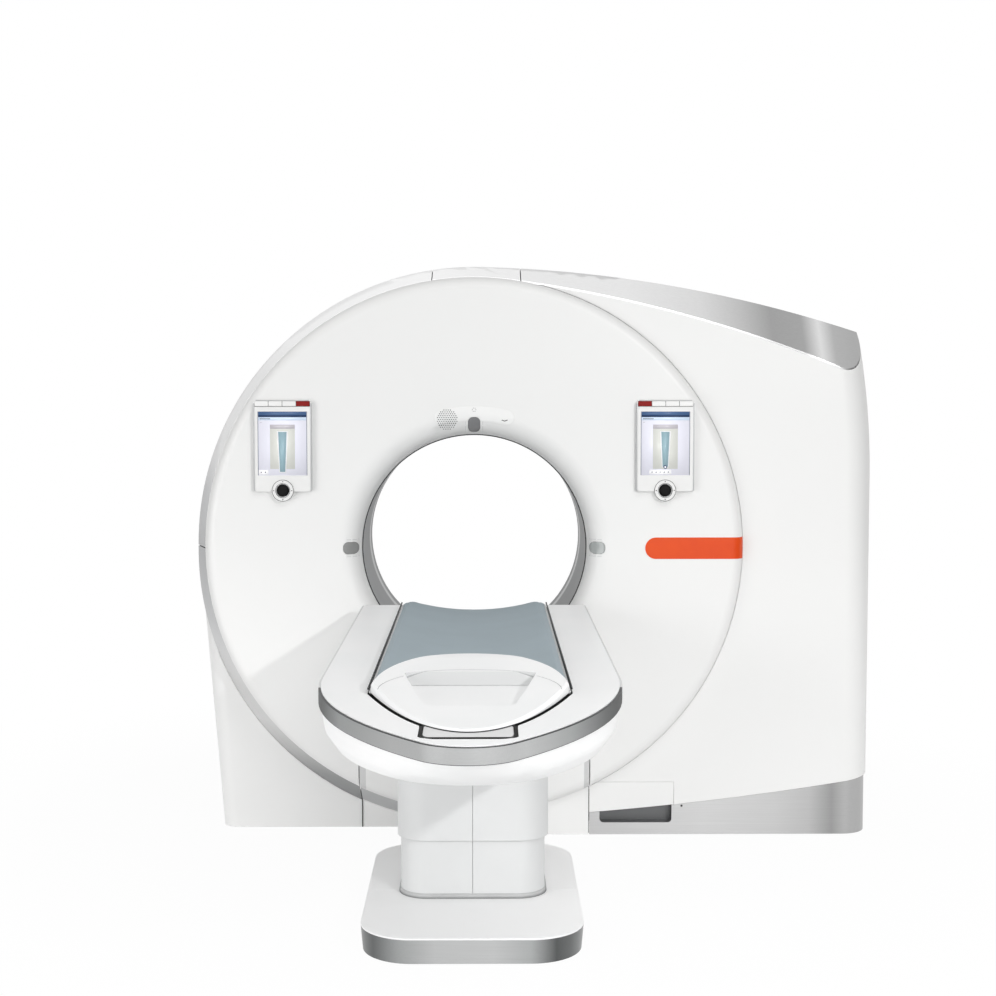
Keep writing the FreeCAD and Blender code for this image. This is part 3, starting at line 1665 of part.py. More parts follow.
def cradle():
    """Dished board on a carriage plate that runs on the two rails."""
    half = float(size["cradle_width"]) / 2
    edge = float(cradle_edge)
    base = float(cap_base)
    y = -float(size["cap_centre"])
    length = float(size["cap_centre"]) - float(size["cradle_back"])
    top = dished_line(edge, size["cradle_dip"], half, y)
    lower = [(half, edge), (half - 6.0, edge - 11.0), (half * 0.42, base), (-half * 0.42, base),
             (-half + 6.0, edge - 11.0), (-half, edge)]
    corners = [point(x, y, z) for x, z in lower]
    section = Part.Wire([top] + list(Part.makePolygon(corners).Edges))
    board = Part.Face(section).extrude(point(0, length, 0))
    board = board.cut(cap_room())
    low = trough_floor + size["rail_height"] + size["slide_gap"]
    width = size["carriage_width"]
    carriage = block(-width / 2, -size["carriage_front"], low, width / 2, -size["carriage_back"], base)
    return make_feature("cradle", board.fuse(carriage).removeSplitter())


def cap_room():
    """Space that the cap needs at the foot end of the board and the mattress."""
    gap = size["cap_fit"]
    return cap_rear_plan(gap, gap, trough_floor, cap_crest + size["cap_rim"])


def mattress_section(y, shrink, lift):
    """Closed section of the pad: dished below and above, with round long edges."""
    full_half = float(size["cradle_width"]) / 2
    half = full_half - shrink
    thick = float(size["mattress_thickness"])
    side = float(size["mattress_bulge"]) - thick / 8
    dip = float(size["cradle_dip"]) * (half / full_half) ** 2
    low = float(cradle_edge - size["cradle_dip"] + size["slide_gap"]) + dip + lift
    high = low + thick - shrink / 2
    inner = half - thick / 2
    bottom = dished_line(low, dip, half, y)
    right = Part.Arc(point(half, y, low), point(half + side, y, low + thick / 2), point(inner, y, high))
    top = dished_line(high, dip, inner, y)
    left = Part.Arc(point(-inner, y, high), point(-half - side, y, low + thick / 2), point(-half, y, low))
    return Part.Wire(Part.__sortEdges__([bottom, right.toShape(), top, left.toShape()]))


def mattress():
    """Dished pad on the cradle with rounded long edges, drawn in at its head end."""
    draw_in = float(size["mattress_draw_in"])
    back = -float(size["cradle_back"])
    sections = [
        mattress_section(-float(size["cap_centre"]), 0.0, 0.0),
        mattress_section(back - 3 * draw_in, 0.0, 0.0),
        mattress_section(back, draw_in, float(size["slide_gap"])),
    ]
    shape = Part.makeLoft(sections, True, True).cut(cap_room())
    return make_feature("mattress", largest(shape))


def cap_profile():
    """Side view of the cap: a level rim behind, then a long slope down to the toe."""
    base = float(cap_base)
    crest = float(cap_crest)
    centre = -float(size["cap_centre"])
    rear = centre + float(size["cap_rear"])
    rim = rear - float(size["cap_rim"])
    front = centre - float(size["cap_front"])

    def place(y, z):
        return point(-FAR / 2, y, z)

    slope = Part.Arc(place(rim, crest), place(centre, float(deck_top + size["cap_middle_rise"])),
                     place(front, float(deck_top + size["cap_toe_rise"])))
    edges = [
        Part.makeLine(place(front, base), place(rear, base)),
        Part.makeLine(place(rear, base), place(rear, crest)),
        Part.makeLine(place(rear, crest), place(rim, crest)),
        slope.toShape(),
        Part.makeLine(place(front, float(deck_top + size["cap_toe_rise"])), place(front, base)),
    ]
    return Part.Face(Part.Wire(edges)).extrude(point(FAR, 0, 0))


def softened_cap(plan):
    """Part of the cap on a plan, with every edge of its top cut off at a slant."""
    solid = plan.common(cap_profile())
    edges = [edge for edge in solid.Edges if edge.BoundBox.ZMin > float(deck_top)]
    return solid.makeChamfer(float(size["cap_edge_bevel"]), edges)


def grip_scoop():
    """Tapering hollow of the cap: a steep arched wall behind, a flat floor, round front corners."""
    centre = -float(size["cap_centre"])
    rear = centre + float(size["grip_rear"])
    crown = rear + float(size["grip_crown"])
    front = centre - float(size["grip_front"])
    crest = float(cap_crest)
    floor = float(deck_top + size["grip_floor_rise"])
    above = crest + float(size["cap_rim"])
    rear_half = float(size["grip_rear_width"]) / 2
    front_half = float(size["grip_front_width"]) / 2
    corners = [point(rear_half, rear, floor), point(front_half, front, floor),
               point(-front_half, front, floor), point(-rear_half, rear, floor)]
    arch = Part.Arc(corners[3], point(0, crown, floor), corners[0]).toShape()
    plan = Part.Face(Part.Wire([arch] + list(Part.makePolygon(corners).Edges)))
    tapered = plan.extrude(point(0, 0, above - floor))
    uprights = [edge for edge in tapered.Edges
                if edge.BoundBox.ZLength > 1 and abs(edge.Vertexes[0].Point.y - front) < 0.1]
    tapered = tapered.makeFillet(float(size["grip_corner"]), uprights)
    side = [point(-rear_half, crown, crest), point(-rear_half, centre + float(size["grip_step"]), floor),
            point(-rear_half, front, floor), point(-rear_half, front, above),
            point(-rear_half, crown, above)]
    sloped = Part.Face(Part.makePolygon(side + side[:1])).extrude(point(2 * rear_half, 0, 0))
    return tapered.common(sloped)


def foot_cap():
    """Oval white cap on the foot end of the cradle, with a scooped grip."""
    base = cap_base
    above = cap_crest + size["cap_rim"]
    overlap = size["cap_rim"]
    front = softened_cap(cap_front_plan(0.0, 0.0, base, above, overlap))
    rear = softened_cap(cap_rear_plan(0.0, 0.0, base, above, overlap))
    centre = -size["cap_centre"]
    front = front.common(block(-FAR, -FAR, base, FAR, centre, above))
    rear = rear.common(block(-FAR, centre, base, FAR, FAR, above))
    shape = front.fuse(rear).removeSplitter()
    return make_feature("foot_cap", largest(shape.cut(grip_scoop())))


def cap_tongue():
    """Flat tile at the toe of the cap, lying in its own notch of the deck."""
    tile = tongue_prism(0.0, 0.0, tongue_top - size["tongue_depth"], tongue_top)
    tile = tile.cut(cap_front_plan(0.0, 0.0, cap_base, cap_crest))
    return make_feature("cap_tongue", largest(tile))


def cradle_rails():
    """Two rails on the floor of the trough."""
    front = -(size["carriage_front"] + size["rail_height"])
    length = -front - size["deck_back"]
    rails = []
    for name, side in (("left", -1), ("right", 1)):
        rails.append(make_box("rail_" + name, size["rail_width"], length, size["rail_height"],
                              side * size["rail_x"] - size["rail_width"] / 2,
                              front, trough_floor))
    return make_fuse("cradle_rails", rails)


# --------------------------------------------------------------------- assembly

def build():
    shell = side_shell()
    skin = disc_skin(0.0, size["skin_thickness"])
    roof = roof_skin()
    front_disc_cover()
    laser_windows(disc_skin(-float(wall) / 2, float(wall) / 2))
    speaker_strip(skin)
    accent_bar(skin)
    ring = band_pieces(roof)
    lower_centre_cover(ring)
    lower_left_cover()
    wing_cover(shell)
    service_door(shell)
    plinth()
    rear_cover(shell)
    tunnel_liner()
    scan_window()
    rear_flare()
    names = []
    for word, side in (("left", -1), ("right", 1)):
        panel_housing("panel_%s" % word, side)
        joystick("joystick_%s" % word, side)
        gimbal_ring("gimbal_%s" % word, side)
        names += ["panel_%s" % word, "joystick_%s" % word, "gimbal_%s" % word]
        for index in range(BUTTON_COUNT):
            name = "button_%s_%d" % (word, index + 1)
            panel_button(name, side, index)
            names.append(name)
    panel_screens()
    gantry_base_frame()
    stator_frame()
    bearing_outer_ring()
    bearing_inner_ring()
    rotor_drum()
    slip_ring()
    xray_tubes()
    detectors()
    generator_tanks()
    base_plate()
    base_skirt()
    base_covers()
    top = size["base_height"]
    step = size["column_step"]
    column_half("lower_column_left", -1, 0.0, top, size["lower_column_top"])
    column_half("lower_column_right", 1, 0.0, top, size["lower_column_top"])
    column_half("mid_column_left", -1, step, size["mid_column_bottom"], mid_column_top)
    column_half("mid_column_right", 1, step, size["mid_column_bottom"], mid_column_top)
    lift_outer_tube()
    lift_middle_tube()
    lift_inner_tube()
    lift_spindle()
    deck()
    edge_band()
    table_bowl()
    cradle_rails()
    cradle()
    mattress()
    foot_cap()
    cap_tongue()
    return names + [
        "front_disc_cover", "laser_windows", "speaker_strip", "accent_bar",
        "upper_left_band", "crown_band", "wing_band", "lower_left_band",
        "lower_centre_cover", "lower_left_cover", "wing_cover", "service_door", "plinth", "rear_cover",
        "tunnel_liner", "scan_window", "rear_flare", "panel_screens",
        "gantry_base_frame", "stator_frame", "bearing_outer_ring",
        "bearing_inner_ring", "rotor_drum", "slip_ring", "xray_tubes", "detectors", "generator_tanks",
        "base_plate", "base_skirt", "base_covers",
        "lower_column_left", "lower_column_right", "mid_column_left", "mid_column_right",
        "lift_outer_tube", "lift_middle_tube", "lift_inner_tube", "lift_spindle",
        "deck", "edge_band", "table_bowl", "cradle_rails",
        "cradle", "mattress", "foot_cap", "cap_tongue",
    ]


def check(names):
    """Stops with the name of whatever failed to build."""
    for thing in doc.Objects:
        if "Invalid" in thing.State or "Error" in thing.State:
            raise RuntimeError("%s failed: %s" % (thing.Label, thing.State))
    for name in names:
        shape = doc.getObjectsByLabel(name)[0].Shape
        if shape.isNull() or not shape.isValid() or not shape.Solids:
            raise RuntimeError("%s has no sound solid" % name)


def export(names):
    os.makedirs("parts", exist_ok=True)
    for name in names:
        shape = doc.getObjectsByLabel(name)[0].Shape
        shape.exportStep("parts/%s.step" % name)
        print("%-22s solids %2d  volume %.4f dm3" % (name, len(shape.Solids), shape.Volume / 1e6))


parts = build()
doc.recompute()
check(parts)
export(parts)
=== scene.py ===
# %% [markdown]
# # A CT scanner and its patient table
# A CT scanner is two machines that stand in line: the gantry, a tall ring of white covers round a
# tunnel, and the patient table, a lifting column with a long cradle that slides into the tunnel.
# This lesson gives the measured solids of the CAD model their real finishes, and adds what is too
# fine or too soft for it: the padded mattress, the touch screens, the speaker holes.

# %% Load the measured model
import math

import bmesh
import bpy
from mathutils import Matrix, Vector


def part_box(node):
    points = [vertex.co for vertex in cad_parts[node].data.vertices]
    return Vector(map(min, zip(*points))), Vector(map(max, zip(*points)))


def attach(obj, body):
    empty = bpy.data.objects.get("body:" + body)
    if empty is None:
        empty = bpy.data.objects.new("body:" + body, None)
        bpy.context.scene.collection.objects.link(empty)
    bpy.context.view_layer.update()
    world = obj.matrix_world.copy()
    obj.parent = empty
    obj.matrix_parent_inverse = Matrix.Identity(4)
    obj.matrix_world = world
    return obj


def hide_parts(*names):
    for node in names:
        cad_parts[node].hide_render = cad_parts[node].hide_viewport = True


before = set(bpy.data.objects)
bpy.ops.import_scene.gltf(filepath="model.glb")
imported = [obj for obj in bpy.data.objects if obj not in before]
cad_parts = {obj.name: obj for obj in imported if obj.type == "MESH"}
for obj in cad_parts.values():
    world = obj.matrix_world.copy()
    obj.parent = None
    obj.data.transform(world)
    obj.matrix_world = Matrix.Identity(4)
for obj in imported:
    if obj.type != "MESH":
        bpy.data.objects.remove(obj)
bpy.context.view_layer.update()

TUNNEL_AXIS = Vector((0, 0, 1.011))

# %% [markdown]
# ## The camera
# The picture was taken from the foot end of the table, a little above the cradle, with a lens about
# as long as a portrait lens. Lines that run along the table meet at one point in the tunnel, and the
# camera's aim follows from that point.

# %% Place the camera
scene = bpy.context.scene


def set_camera():
    lens = bpy.data.cameras.new("foot_end_camera")
    lens.lens = 57.8
    lens.sensor_width = 36.0
    down, to_the_right = math.radians(3.683), math.radians(0.5078)
    camera = bpy.data.objects.new("foot_end_camera", lens)
    camera.location = (0.033, -5.945, 1.536)
    camera.rotation_euler = (math.radians(90) - down, 0, -to_the_right)
    scene.collection.objects.link(camera)
    scene.camera = camera
    return camera


print("camera at", tuple(set_camera().location))

# %% [markdown]
# ## Colours and nodes
# A colour in a paint chart is written in sRGB, but a shader wants linear light, so one function turns
# each hex value. One more function adds a shader node, sets it and links it, which keeps every
# finish below short enough to read at a glance.

# %% Turn a paint colour to linear light
def linear(hex_colour):
    parts = [int(hex_colour[i:i + 2], 16) / 255 for i in (1, 3, 5)]
    bent = [c / 12.92 if c <= 0.04045 else ((c + 0.055) / 1.055) ** 2.4 for c in parts]
    return (*bent, 1.0)


print("cover white in linear light:", [round(c, 3) for c in linear("#F1F1F0")])

# %% Add one shader node
def add_node(tree, kind, settings=None, **inputs):
    node = tree.nodes.new(kind)
    for name, value in (settings or {}).items():
        setattr(node, name, value)
    for name, value in inputs.items():
        key = int(name[1:]) if name[0] == "_" else name.replace("_", " ")
        socket = node.inputs[key]
        if isinstance(value, bpy.types.NodeSocket):
            tree.links.new(value, socket)
        else:
            socket.default_value = value
    return node


# %% [markdown]
# ## Painted and moulded finishes
# Nearly every surface here is paint or moulded plastic. Real paint is never one flat colour: it
# drifts by a percent or two over a hand's width, and its skin has a fine orange peel that breaks up
# reflections. One function makes that pair, a slow drift in colour and a fine bump, and each finish
# gives it real sizes in millimetres. A second one grades a finish along an axis.

# %% A finish with a slow drift of colour and a fine skin
finishes = {}


def coated(name, dark, light, roughness, drift_mm, grain_mm, grain_height_mm=0.01, metallic=0.0, ior=1.5):
    material = bpy.data.materials.new(name)
    material.use_nodes = True
    tree = material.node_tree
    shader = tree.nodes["Principled BSDF"]
    shader.inputs["Metallic"].default_value = metallic
    shader.inputs["IOR"].default_value = ior
    place = add_node(tree, "ShaderNodeTexCoord").outputs["Object"]
    drift = add_node(tree, "ShaderNodeTexNoise", Vector=place, Scale=1000 / drift_mm, Detail=3.0)
    ramp = add_node(tree, "ShaderNodeValToRGB", Fac=drift.outputs["Fac"])
    for step, position, hex_colour in zip(ramp.color_ramp.elements, (0.35, 0.65), (dark, light)):
        step.position, step.color = position, linear(hex_colour)
    tree.links.new(ramp.outputs["Color"], shader.inputs["Base Color"])
    wear = add_node(tree, "ShaderNodeMapRange", Value=drift.outputs["Fac"],
                    To_Min=roughness * 0.9, To_Max=roughness * 1.1)
    tree.links.new(wear.outputs["Result"], shader.inputs["Roughness"])
    grain = add_node(tree, "ShaderNodeTexNoise", Vector=place, Scale=1000 / grain_mm, Detail=2.0)
    bump = add_node(tree, "ShaderNodeBump", Height=grain.outputs["Fac"], Strength=0.35,
                    Distance=grain_height_mm / 1000)
    tree.links.new(bump.outputs["Normal"], shader.inputs["Normal"])
    finishes[name] = material
    return material


# %% Grade a finish along one axis
def graded(name, axis, tones):
    tree = finishes[name].node_tree
    place = add_node(tree, "ShaderNodeTexCoord").outputs["Object"]
    along = add_node(tree, "ShaderNodeSeparateXYZ", Vector=place).outputs[axis]
    low, high = tones[0][0], tones[-1][0]
    share = add_node(tree, "ShaderNodeMapRange", Value=along, From_Min=low, From_Max=high)
    ramp = add_node(tree, "ShaderNodeValToRGB", Fac=share.outputs["Result"])
    steps = ramp.color_ramp.elements
    for _ in tones[2:]:
        steps.new(0.5)
    for index, (position, hex_colour) in enumerate(tones):
        steps[index].position = (position - low) / (high - low)
        steps[index].color = linear(hex_colour)
    tree.links.new(ramp.outputs["Color"], tree.nodes["Principled BSDF"].inputs["Base Color"])
    return place, ramp


# %% [markdown]
# The covers are reaction-moulded polyurethane panels with a satin white paint. The paint has an
# orange peel of about 2 mm and is wiped clean every day. Its white is graded from light near the
# floor to darker at the top: painted shade that evens out how the lamps light the covers.

# %% White covers, in their shades
coated("satin_white_paint", "#ECECEB", "#F0F0EF", 0.42, 400, 2.2, 0.02)
coated("tunnel_grey_polycarbonate", "#8E8F90", "#999A9B", 0.5, 250, 1.4, 0.02)
coated("scan_window_polyester_film", "#B4B5B5", "#BEBFBF", 0.3, 120, 3.0)
coated("strip_grey_abs", "#E3E3E2", "#E7E7E6", 0.45, 90, 1.5)
coated("screen_frame_abs", "#DFDFDE", "#E3E3E2", 0.42, 150, 1.0)
coated("keycap_white_abs", "#E2E2E1", "#E6E6E5", 0.4, 60, 0.8)
coated("keycap_red_abs", "#7A0202", "#840404", 0.55, 60, 0.8, ior=1.35)
coated("accent_orange_lacquer", "#D84404", "#DE4A06", 0.4, 80, 1.5, ior=1.4)
coated("laser_window_smoked_acrylic", "#787879", "#7F7F80", 0.16, 120, 4.0, 0.005, ior=1.49)
coated("stick_black_rubber", "#050505", "#0A0A0A", 0.7, 30, 0.8, 0.02, ior=1.3)
coated("gimbal_white_nylon", "#E2E3E3", "#EAEBEB", 0.4, 60, 0.8)
coated("table_white_paint", "#F7F8F8", "#FBFBFB", 0.4, 300, 2.2, 0.02)
# Painted shade: the tongue is a greyer white than the table, for the shade under the foot cap.
coated("tongue_white_with_painted_shade", "#DDDDDD", "#E2E2E2", 0.42, 120, 2.2, 0.02)
coated("base_white_paint", "#FAFAFA", "#FDFDFD", 0.42, 300, 2.2, 0.02)
# Painted shade: the columns take a greyer white than the table, for the shade under the cradle.
coated("column_white_with_painted_shade", "#DADBDB", "#DFE0E0", 0.42, 300, 2.2, 0.02)
coated("carbon_board_white_lacquer", "#E4E5E5", "#EAEBEB", 0.4, 200, 2.0)
coated("seal_black_rubber", "#2A2B2C", "#323334", 0.6, 60, 1.0, 0.02)
# Painted shade: the white of the covers grows darker towards the top.
graded("satin_white_paint", "Z", [(0.0, "#FCFCFB"), (0.7, "#F0F0EF"), (1.1, "#E6E6E5"), (1.5, "#E0E0DF"),
                                  (1.95, "#DDDDDC")])
print("painted finishes:", len(finishes))

# %% [markdown]
# The trough of the table top is painted black inside: painted shade, which hides the rails and draws
# a clean black line round the cradle where the gap lies in shade. Paint and trough are one moulding
# here, so one finish holds both: below the rim of the trough the black takes over. Two small helpers
# do this: one copies a finish, and one paints the copy wherever a list of tests on its place all hold.

# %% Paint a copy of a finish where some tests hold
def copied(source, name):
    material = finishes[source].copy()
    material.name = name
    finishes[name] = material
    return material.node_tree


def painted_where(tree, tests, hex_colour):
    inside = None
    for operation, value, limit in tests:
        test = add_node(tree, "ShaderNodeMath", {"operation": operation}, _0=value, _1=limit)
        inside = test if inside is None else add_node(
            tree, "ShaderNodeMath", {"operation": "MULTIPLY"}, _0=inside.outputs[0], _1=test.outputs[0])
    shader = tree.nodes["Principled BSDF"]
    paint = shader.inputs["Base Color"].links[0].from_socket
    mix = add_node(tree, "ShaderNodeMix", {"data_type": "RGBA"}, _0=inside.outputs[0], _6=paint,
                   _7=linear(hex_colour))
    tree.links.new(mix.outputs[2], shader.inputs["Base Color"])


# %% Paint a box of a finish between two corners
def box_painted(source, name, low, high, hex_colour, towards_foot=None):
    """With towards_foot, only faces that lean that far towards the foot end are painted."""
    tree = copied(source, name)
    coordinates = add_node(tree, "ShaderNodeTexCoord")
    place = add_node(tree, "ShaderNodeSeparateXYZ", Vector=coordinates.outputs["Object"])
    tests = []
    for axis, start, end in zip("XYZ", low, high):
        tests += [("GREATER_THAN", place.outputs[axis], start), ("LESS_THAN", place.outputs[axis], end)]
    if towards_foot is not None:
        lean = add_node(tree, "ShaderNodeSeparateXYZ", Vector=coordinates.outputs["Normal"])
        tests.append(("LESS_THAN", lean.outputs["Y"], -towards_foot))
    painted_where(tree, tests, hex_colour)


# Painted shade: black inside the trough, below its rim.
box_painted("table_white_paint", "deck_with_painted_trough_shade", (-0.36, -2.72, 0.7), (0.36, 0, 0.8265),
            "#0A0A0A")
print("the trough is black")

# %% [markdown]
# Below the rim of the trough the foot cap and the tongue are painted black as well: painted shade
# in the gap, so that the joint round them is one black line. The steep wall of the grip is painted a
# shade greyer: painted shade on the wall. The middle cover at the floor has painted shade along both
# upright edges.

# %% Painted shade in the gaps, on the grip wall and at the edges of the middle cover
# Painted shade: the cap is black below the rim of the trough.
box_painted("table_white_paint", "cap_with_painted_gap_shade", (-1, -3, 0.7), (1, 0, 0.8314), "#0C0D0D")
# Painted shade: the steep wall of the grip, where it faces the foot end, is greyer.
box_painted("cap_with_painted_gap_shade", "cap_with_painted_grip_shade", (-0.17, -2.1152, 0.836), (0.17, -2.05, 0.9),
            "#CFD0D0", towards_foot=0.6)
# Painted shade: the tongue is black at its front and sides, in the gap.
box_painted("tongue_white_with_painted_shade", "tongue_front_gap_shade", (-1, -3, 0.7), (1, -2.6705, 0.9), "#0C0D0D")
box_painted("tongue_front_gap_shade", "tongue_left_gap_shade", (-1, -3, 0.7), (-0.0965, 0, 0.9), "#0C0D0D")
box_painted("tongue_left_gap_shade", "tongue_with_painted_gap_shade", (0.0965, -3, 0.7), (1, 0, 0.9), "#0C0D0D")
# Painted shade: grey strips along both upright edges of the middle cover.
box_painted("satin_white_paint", "middle_left_painted_shade", (-0.41, -0.6, 0.17), (-0.376, 0, 0.6), "#DEDEDE")
box_painted("middle_left_painted_shade", "middle_with_painted_edge_shade", (0.38, -0.6, 0.17), (0.41, 0, 0.6), "#D8D8D8")
print("skirts and folds are painted")

# %% [markdown]
# The left and the right laser window are painted a little lighter than the one over the tunnel:
# painted light, as the side windows catch more of the lamps.

# %% Painted light on the windows at the sides
# Painted light: the side windows are lighter than the middle one.
box_painted("laser_window_smoked_acrylic", "window_left_painted_light", (-0.5, -1, 0), (-0.3, 0, 2), "#8F908F")
box_painted("window_left_painted_light", "windows_with_painted_light", (0.3, -1, 0), (0.5, 0, 2), "#A8ACAB")
print("the windows have three shades")

# %% [markdown]
# The silver ring round the gantry runs on over the middle cover at the floor. It lies between two
# circles about the axis of the tunnel, so here the tests are on the distance from that axis.

# %% The silver ring on the middle cover
def ring_painted(source, name, inner, outer, right_end, hex_colour):
    tree = copied(source, name)
    place = add_node(tree, "ShaderNodeTexCoord").outputs["Object"]
    flat = add_node(tree, "ShaderNodeVectorMath", {"operation": "MULTIPLY"}, _0=place, _1=(1, 0, 1))
    about = add_node(tree, "ShaderNodeVectorMath", {"operation": "DISTANCE"}, _0=flat.outputs[0],
                     _1=TUNNEL_AXIS)
    radius = about.outputs["Value"]
    x = add_node(tree, "ShaderNodeSeparateXYZ", Vector=place).outputs["X"]
    painted_where(tree, [("GREATER_THAN", radius, inner), ("LESS_THAN", radius, outer),
                         ("LESS_THAN", x, right_end)], hex_colour)


ring_painted("middle_with_painted_edge_shade", "middle_with_silver_ring", 0.93, 0.99, -0.1, "#C2C3C4")
print("masked finishes ready:", len(finishes))

# %% [markdown]
# ## Brushed aluminium
# The bands round the gantry and along the table are aluminium, brushed along their length and clear
# anodised. The brushing is fine lines that run with the band, so a noise is stretched a
# hundredfold along it; the lines stand about 2 mm apart, as finer ones would not show from here.
# A bent sheet also shows a slow play of light and dark along its length, where each part mirrors
# another part of the room. Here those reflections are painted into the colour: each band lists the
# painted tones of light and dark that it meets on its way.

# %% A brushed band with painted reflections along it
LINES_PER_METRE_ACROSS, LINES_PER_METRE_ALONG = 500.0, 5.0


def brushed(name, axis, tones, roughness=0.36, metallic=0.7):
    tree = coated(name, tones[0][1], tones[0][1], roughness, 180, 3.0, metallic=metallic).node_tree
    place, ramp = graded(name, axis, tones)
    stretch = [LINES_PER_METRE_ALONG if axis == a else LINES_PER_METRE_ACROSS for a in "XYZ"]
    stretched = add_node(tree, "ShaderNodeVectorMath", {"operation": "MULTIPLY"}, _0=place, _1=stretch)
    lines = add_node(tree, "ShaderNodeTexNoise", Vector=stretched.outputs[0], Scale=1.0, Detail=2.0)
    depth = add_node(tree, "ShaderNodeMapRange", Value=lines.outputs["Fac"], To_Min=0.9, To_Max=1.06)
    toned = add_node(tree, "ShaderNodeVectorMath", {"operation": "MULTIPLY"},
                     _0=ramp.outputs["Color"], _1=depth.outputs["Result"])
    tree.links.new(toned.outputs[0], tree.nodes["Principled BSDF"].inputs["Base Color"])


# Painted reflections: the tones of light and dark listed along each band.
brushed("brushed_roof_left", "Z", [
    (0.98, "#A6A7A8"), (1.1, "#B8B9BA"), (1.22, "#C4C5C6"), (1.34, "#E4E4E4"), (1.6, "#E6E6E6"),
    (1.75, "#F4F4F4"), (1.95, "#FAFAFA")])
brushed("brushed_crown", "X", [(-0.2, "#FBFBFB"), (0.0, "#F4F4F4"), (0.2, "#F0F0F0")])
brushed("brushed_wing", "X", [
    (0.16, "#EDEDED"), (0.5, "#E8E8E8"), (0.78, "#D8D8D8"), (0.92, "#BEBEBE"), (1.03, "#9E9E9E"),
    (1.14, "#A2A2A2"), (1.2, "#DADADA"), (1.25, "#AFAFAF"), (1.32, "#A8A8A8")])
brushed("brushed_ring", "Z", [
    (0.06, "#8E8F90"), (0.2, "#9C9D9E"), (0.3, "#C8C8C8"), (0.4, "#E2E2E2"), (0.6, "#DADADA"),
    (0.75, "#C0C1C2"), (0.98, "#A8A9AA")])
brushed("brushed_plinth", "X", [
    (0.4, "#C6C6C6"), (0.8, "#D2D2D2"), (1.05, "#CACACA"), (1.17, "#BEBEBE"), (1.25, "#9C9C9C"),
    (1.3, "#B8B8B8")])
brushed("brushed_table_edge", "X", [
    (-0.39, "#101212"), (-0.35, "#343636"), (-0.29, "#969898"), (-0.16, "#B0B1B1"), (0.0, "#ADAEAE"),
    (0.12, "#BEBFBF"), (0.22, "#A4A6A6"), (0.31, "#5C5E5E"), (0.35, "#222424"), (0.39, "#101212")],
    roughness=0.5, metallic=0.3)
brushed("brushed_base_skirt", "X", [
    (-0.32, "#7C7E7E"), (-0.27, "#666868"), (-0.2, "#A0A2A2"), (-0.1, "#C0C1C1"), (0.06, "#C2C3C3"),
    (0.16, "#AEB0B0"), (0.23, "#5C5E5E"), (0.27, "#6E7070"), (0.32, "#949696")])
print("brushed bands are ready")

# %% [markdown]
# The edge band of the table is trimmed by a dark joint line above and below. Behind the rounded
# nose the upper line ends and the white of the deck laps over the band. The hand recess in the
# plinth is painted darker: painted shade in the recess.

# %% Joint lines of the edge band, and painted shade in the recess of the plinth
NOSE_ENDS = -2.1
box_painted("brushed_table_edge", "edge_lined_above", (-1, -3, 0.8263), (1, NOSE_ENDS, 0.84), "#3C3D3E")
box_painted("edge_lined_above", "edge_light_behind", (-1, NOSE_ENDS, 0.8255), (1, 0, 0.84), "#DADADA")
box_painted("edge_light_behind", "edge_lined_on_both_sides", (-1, -3, 0.78), (1, NOSE_ENDS, 0.7916),
            "#4A4B4C")
# Painted shade: the hand recess of the plinth is darker.
box_painted("brushed_plinth", "plinth_with_painted_recess_shade", (0.3, -0.432, 0.0), (0.72, -0.3, 0.12), "#707172")
print("all metal finishes are ready")

# %% [markdown]
# ## Metals and enamels inside the machine
# Behind the covers are cast, ground and powder coated parts, which show when the covers are taken
# off. They keep their plain workshop finishes.

# %% Workshop finishes
coated("powder_coated_steel", "#8C8F92", "#979A9D", 0.6, 200, 1.5, 0.05)
coated("ground_bearing_steel", "#8B8B89", "#9A9A98", 0.28, 90, 1.0, metallic=1.0)
coated("cast_aluminium", "#A3A5A8", "#B1B3B6", 0.5, 120, 2.0, 0.06, metallic=1.0)
coated("lead_lined_tube_housing", "#B7B9BA", "#C3C5C6", 0.45, 120, 1.5, 0.03)
coated("detector_black_anodise", "#1E1F21", "#292A2C", 0.5, 90, 1.2, 0.02, metallic=0.3)
coated("tank_grey_enamel", "#9DA3A8", "#A9AFB4", 0.4, 160, 1.5, 0.03)
coated("slip_ring_brass", "#B5904A", "#C4A05A", 0.3, 60, 1.0, metallic=1.0)
coated("lift_chromed_steel", "#A5A7A9", "#B3B5B7", 0.3, 140, 1.2, metallic=1.0)
coated("rail_drawn_steel", "#8E9092", "#9C9EA0", 0.35, 100, 1.0, metallic=1.0)
coated("screen_cover_glass", "#F3F4F6", "#F7F8FA", 0.12, 200, 5.0, 0.002)
print("finishes so far:", len(finishes))

# %% [markdown]
# ## Finishes onto the measured solids
# Each solid keeps its measured mesh and only takes a finish here. Its edges are softened near the end,
# because every step in between would have to work those modifiers out again.

